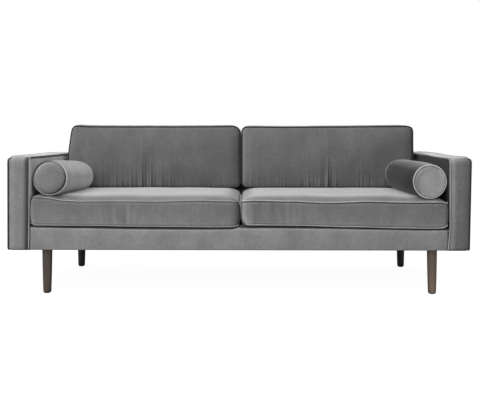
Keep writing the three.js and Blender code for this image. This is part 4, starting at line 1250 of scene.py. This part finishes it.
# Outlines drawn out
def profile_solid(outline, x_low, x_high, cells):
    """A closed outline in Y and Z, extruded along X, with ends."""
    outline = np.asarray(outline, float)
    stations = np.linspace(x_low, x_high, cells + 1)
    count = len(outline)
    vertices = [np.stack([np.full(count, x), outline[:, 0], outline[:, 1]], -1) for x in stations]
    faces = ring_faces(cells + 1, count, capped=True)
    return np.concatenate(vertices), faces


def rounded_outline(corners, steps=6):
    """Corners (y, z, radius) as points, with an arc at each."""
    points = []
    count = len(corners)
    for i, (y, z, r) in enumerate(corners):
        here = np.array([y, z])
        if r <= 0:
            points.append(here)
            continue
        before, after = np.array(corners[i - 1][:2]), np.array(corners[(i + 1) % count][:2])
        to_before, to_after = before - here, after - here
        to_before = to_before / np.linalg.norm(to_before)
        to_after = to_after / np.linalg.norm(to_after)
        half = math.acos(float(np.clip(to_before @ to_after, -1, 1))) / 2
        bisector = (to_before + to_after) / np.linalg.norm(to_before + to_after)
        centre = here + bisector * r / math.sin(half)
        start = here + to_before * r / math.tan(half) - centre
        end = here + to_after * r / math.tan(half) - centre
        a0, a1 = math.atan2(start[1], start[0]), math.atan2(end[1], end[0])
        sweep = (a1 - a0 + math.pi) % (2 * math.pi) - math.pi
        for k in range(steps + 1):
            a = a0 + sweep * k / steps
            points.append(centre + r * np.array([math.cos(a), math.sin(a)]))
    return spaced(np.array(points), 0.03)


def spaced(points, step):
    """A closed outline with extra points on its long sides."""
    out = []
    for a, b in zip(points, np.roll(points, -1, 0)):
        pieces = max(1, int(np.linalg.norm(b - a) / step))
        out.extend(a + (b - a) * k / pieces for k in range(pieces))
    return np.array(out)


# Front rail
RAIL_EDGE = {  # rise of its top edge below a cushion
    "left": ([-1, -0.5, 0, 0.6, 0.93, 1], [-1, -8, -14, -15.5, -13, -6]),
    "right": ([-1, -0.6, -0.2, 0.3, 0.7, 1], [-6, -5, -8, -14, -19, -17]),
}
RAIL_THICK = 0.018  # of the cover on the top, and about as much on the front
RAIL_FRONT_THICK = 0.02
RAIL_SLOPE = (0.04, 0.005)  # depth and height of the slope behind its top edge
RAIL_EDGE_REACH = (0.035, 0.03)  # back and down
RAIL_SHADE_REACH = 0.018


def front_rail(rng):
    low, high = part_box("front_rail_cover")
    y, top = low.y, high.z
    outline = rounded_outline(
        [
            (y, low.z, 0.005),
            (y, top - RAIL_SLOPE[1], 0.012),
            (y + RAIL_SLOPE[0], top, 0.0),
            (high.y, top, 0.0),
            (high.y, top - RAIL_THICK, 0.0),
            (y + RAIL_FRONT_THICK, top - RAIL_THICK, 0.0),
            (y + RAIL_FRONT_THICK, low.z, 0.0),
        ]
    )
    vertices, faces = profile_solid(outline, low.x, high.x, 160)
    face = vertices[:, 1] < y + 0.012
    ripple = waves(vertices[:, 0], vertices[:, 2], rng, 0.35, 0.0009)
    end = 1 - (np.abs(vertices[:, 0]) / max(abs(low.x), abs(high.x))) ** 12
    vertices[:, 1] += np.where(face, ripple * end, 0.0)
    share = vertices[:, 0] / high.x
    edge = sum(
        np.where(np.sign(share) == sign, eased((share - sign / 2) * 2, *RAIL_EDGE[side]), 0.0)
        for side, sign in SIDES
    )
    back_reach, down_reach = RAIL_EDGE_REACH
    near_edge = near(vertices[:, 1] - y, back_reach, 1) * near(top - vertices[:, 2], down_reach, 1)
    rise = MM * edge * near_edge
    vertices[:, 2] += rise
    # Painted shade along the top edge, under the cushions
    painted_shade = near(top - vertices[:, 2] + rise, RAIL_SHADE_REACH, 1)
    piece = mesh_object("front_rail_upholstery", vertices, faces, VELVET["rail"], painted_shade)
    finish_piece(piece, "sofa_frame", "velvet", "front_rail_cover")


# Back
BACK_LEAN = math.tan(math.radians(8))
BACK_TOP_WIDTH = 0.096
BACK_COVER_THICK = 0.014
BACK_RISE = 0.0008  # the cover's top over the node's
BACK_INSET = 0.0017  # the cover's outside before the node's
BACK_WELT = (0.004, 0.0024)  # radius, and how deep its centre lies


def back(rng):
    low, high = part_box("back_cover")
    top, rear = high.z + BACK_RISE, high.y - BACK_INSET
    front, thick = rear - BACK_TOP_WIDTH, BACK_COVER_THICK
    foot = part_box("seat_deck")[0].z
    inner_foot = front - (top - foot) * BACK_LEAN
    outline = rounded_outline(
        [
            (rear, low.z, 0.004),
            (rear, top, 0.014),
            (front, top, 0.010),
            (inner_foot, foot, 0.0),
            (inner_foot + thick, foot, 0.0),
            (front + thick, top - thick, 0.0),
            (rear - thick, top - thick, 0.0),
            (rear - thick, low.z, 0.0),
        ]
    )
    vertices, faces = profile_solid(outline, low.x, high.x, 150)
    outside = vertices[:, 1] > rear - 0.002
    ripple = waves(vertices[:, 0], vertices[:, 2], rng, 0.4, 0.0007)
    span = 1 - (np.abs(vertices[:, 0]) / high.x) ** 10
    vertices[:, 1] += np.where(outside, (ripple - 0.001) * span, 0.0)
    piece = mesh_object("back_upholstery", vertices, faces, VELVET["rail"])
    finish_piece(piece, "sofa_frame", "velvet", "back_cover")
    x = np.linspace(low.x + MM, high.x - MM, 120)
    radius, depth = BACK_WELT
    welts = [
        tube(np.stack([x, np.full_like(x, y), np.full_like(x, top - depth)], -1), radius, closed=False)
        for y in (rear - depth, front + depth)
    ]
    welt = mesh_object("back_piping", *joined(welts), VELVET["arm_piping"])
    finish_piece(welt, "sofa_frame", "velvet")


# Legs
LEG_FOOT_RADIUS = 0.0192
LEG_WIDER = 0.001  # at the top, than half the node's width
LEG_BELLY = 0.0006
LEG_FOOT_EDGE = ((0.002, 0.0), (0.0007, 0.0005), (0.0, 0.002))  # inset and rise of the worn foot edge
LEG_TOP_EDGE = 0.0012


def lathe(profile, around=48):
    """A profile of (radius, height) pairs turned about Z; ends on the axis close it."""
    angle = 2 * math.pi * np.arange(around) / around
    unit = np.stack([np.cos(angle), np.sin(angle)], -1)
    rings = [np.column_stack([r * unit, np.full(around, z)]) for r, z in profile]
    return np.concatenate(rings), ring_faces(len(rings), around, capped=True)


def leg(name):
    low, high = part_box(f"{name}_leg")
    centre = np.array([(low.x + high.x) / 2, (low.y + high.y) / 2, 0])
    top_radius = (high.x - low.x) / 2 + LEG_WIDER
    profile = [(LEG_FOOT_RADIUS - inset, low.z + rise) for inset, rise in LEG_FOOT_EDGE]
    for share in np.linspace(0.05, 0.98, 16):
        straight = LEG_FOOT_RADIUS + (top_radius - LEG_FOOT_RADIUS) * share
        radius = straight + LEG_BELLY * math.sin(math.pi * share)
        profile.append((radius, low.z + share * (high.z - low.z)))
    profile += [(top_radius, high.z - LEG_TOP_EDGE), (top_radius - LEG_TOP_EDGE, high.z)]
    vertices, faces = lathe(profile)
    piece = mesh_object(f"{name}_turned_leg", vertices + centre, faces, LEG_LIT_AND_SHADED_WALNUT[name])
    finish_piece(piece, "sofa_frame", "stained_wood", f"{name}_leg")


make_camera()
make_stage()
LEFT, RIGHT = (-1.0, 0.0, 0.0), (1.0, 0.0, 0.0)
UP, DOWN = (0.0, 0.0, 1.0), (0.0, 0.0, -1.0)
# One velvet throughout: each copy's grey is set piece by piece for how light falls there, as painted light and
# shade, and its leans paint it lighter or darker by how each surface faces. The light pipings are painted
# highlights; the near-black arm, inner and back pipings are painted shade lines along those seams, with painted
# light on their lit side.
VELVET_LOOKS = {  # grey, painted light and shade by facing, and what else differs
    "seat": (0.165, [(LEFT, 1.3, BROAD), (DOWN, 1.8, (0.75, 1.4))], {"level": LEVEL_PAINTED_LIGHT}),
    "back": (0.093, [(LEFT, 1.3, BROAD)], {"seed": 3.1, "seam": SHARP_SEAM}),
    "left_arm": (
        0.21, [(LEFT, 3.0, (0.25, 1.15))], {"seed": 7.7, "seam": SHARP_SEAM, "level": ARM_TOP_SHADE}
    ),
    "right_arm": (
        0.14, [(LEFT, 3.0, (0.9, 1.5))], {"seed": 2.9, "seam": SHARP_SEAM, "level": ARM_TOP_SHADE}
    ),
    "rail": (0.215, [(LEFT, 0.8, BROAD)], {"seed": 1.7, "seam": SHARP_SEAM}),
    "arm_outside": (0.15, [], {"seed": 2.7}),
    "arm_inside": (0.2, [(RIGHT, 0.89, (0.05, 2.0))], {"sheen": 0.1, "seed": 6.7, "seam": SHARP_SEAM}),
    "left_bolster": (
        0.128, [(RIGHT, 1.1, BROAD), (DOWN, 1.6, (0.93, 2.6))], {"sheen": 0.3, "seed": 5.3}
    ),
    "right_bolster": (
        0.128, [(RIGHT, 1.1, BROAD), (UP, 0.45, (0.6, 1.2))], {"sheen": 0.2, "seed": 4.4}
    ),
    "left_bolster_end": (0.165, [((-0.9, 0.0, 0.45), 1.0, BROAD)], {"seed": 5.9}),
    "right_bolster_end": (0.24, [((0.8, 0.0, -0.6), 2.4, (0.75, 2.6))], {"seed": 9.7}),
    "left_seat_piping": (0.24, [(LEFT, 0.5, BROAD)], {"seed": 1.2}),
    "right_seat_piping": (0.3, [(LEFT, 0.5, BROAD)], {"seed": 1.2}),
    "back_piping": (0.02, [], {"sheen": 0.05, "seed": 2.2}),
    "arm_piping": (0.02, [(UP, 24.0, (1.0, 14.0))], {"sheen": 0.05, "seed": 4.2}),
    "inner_piping": (0.022, [((-0.25, -1.0, 0.0), 15.0, (1.0, 18.0))], {"sheen": 0.1, "seed": 6.2}),
    "left_bolster_piping": (
        0.3, [((0.7, 0.0, -0.7), 1.4, (0.02, 2.4))],
        {"sheen": 0.05, "seed": 8.2, "seam": ((0.0, 1.0), (0.7, 0.05))},
    ),
    "right_bolster_piping": (
        0.45, [((0.9, 0.0, -0.5), 1.3, (0.75, 2.4))], {"sheen": 0.5, "seed": 8.6}
    ),
}
VELVET = {
    key: velvet(f"velvet_{key}", grey, *painted_facing_shades, **others)
    for key, (grey, painted_facing_shades, others) in VELVET_LOOKS.items()
}
WALNUT = wood("walnut_stain", (0.045, 0.031, 0.022), (0.115, 0.08, 0.059), 0.42, coat=0.25)
# One walnut stain; a lighter copy as painted light on the right front leg, and a near-black copy as painted shadow
# on the rear legs
PAINTED_LIGHT_WALNUT = wood("walnut_painted_light", (0.09, 0.062, 0.045), (0.23, 0.165, 0.125), 0.42, coat=0.25)
SHADED_WALNUT = wood("walnut_painted_shadow", (0.01, 0.007, 0.005), (0.026, 0.018, 0.013), 0.5, coat=0.1)
LEG_LIT_AND_SHADED_WALNUT = {
    "left_front": WALNUT,
    "right_front": PAINTED_LIGHT_WALNUT,
    "left_rear": SHADED_WALNUT,
    "right_rear": SHADED_WALNUT,
}
NODE_MATERIALS = {
    "velvet": VELVET["rail"],
    "timber": wood("planed_pine", (0.42, 0.27, 0.14), (0.6, 0.43, 0.25), 0.65, along="X"),
    "hardboard": speckled("pressed_board", (0.11, 0.065, 0.035), (0.2, 0.12, 0.07), 260.0, 0.8),
    "stained_wood": WALNUT,
    "elastic_webbing": woven("webbing_weave", (0.035, 0.03, 0.028), 320.0),
    "black_cloth": woven("black_lining", (0.02, 0.02, 0.02), 500.0),
    "zinc_steel": speckled("zinc_plate", (0.42, 0.44, 0.46), (0.56, 0.58, 0.6), 90.0, 0.35, metallic=1.0),
    "nylon": speckled("moulded_nylon", (0.012, 0.012, 0.012), (0.02, 0.02, 0.02), 400.0, 0.5),
}
slots = {part["node"]: part["material_slot"] for part in frame["record"]["subparts"]}
for node_name, node in frame["nodes"].items():
    node.data.materials.clear()
    node.data.materials.append(NODE_MATERIALS[slots[node_name]])

for number, (side_name, side_sign) in enumerate(SIDES):
    seat_cushion(side_name, side_sign, np.random.default_rng(11 + number))
    back_cushion(side_name, side_sign, np.random.default_rng(21 + number))
    bolster(side_name, side_sign, np.random.default_rng(31 + number))
    arm(side_name, side_sign, np.random.default_rng(41 + number))
    for end_name in ("front", "rear"):
        leg(f"{side_name}_{end_name}")
front_rail(np.random.default_rng(51))
back(np.random.default_rng(61))
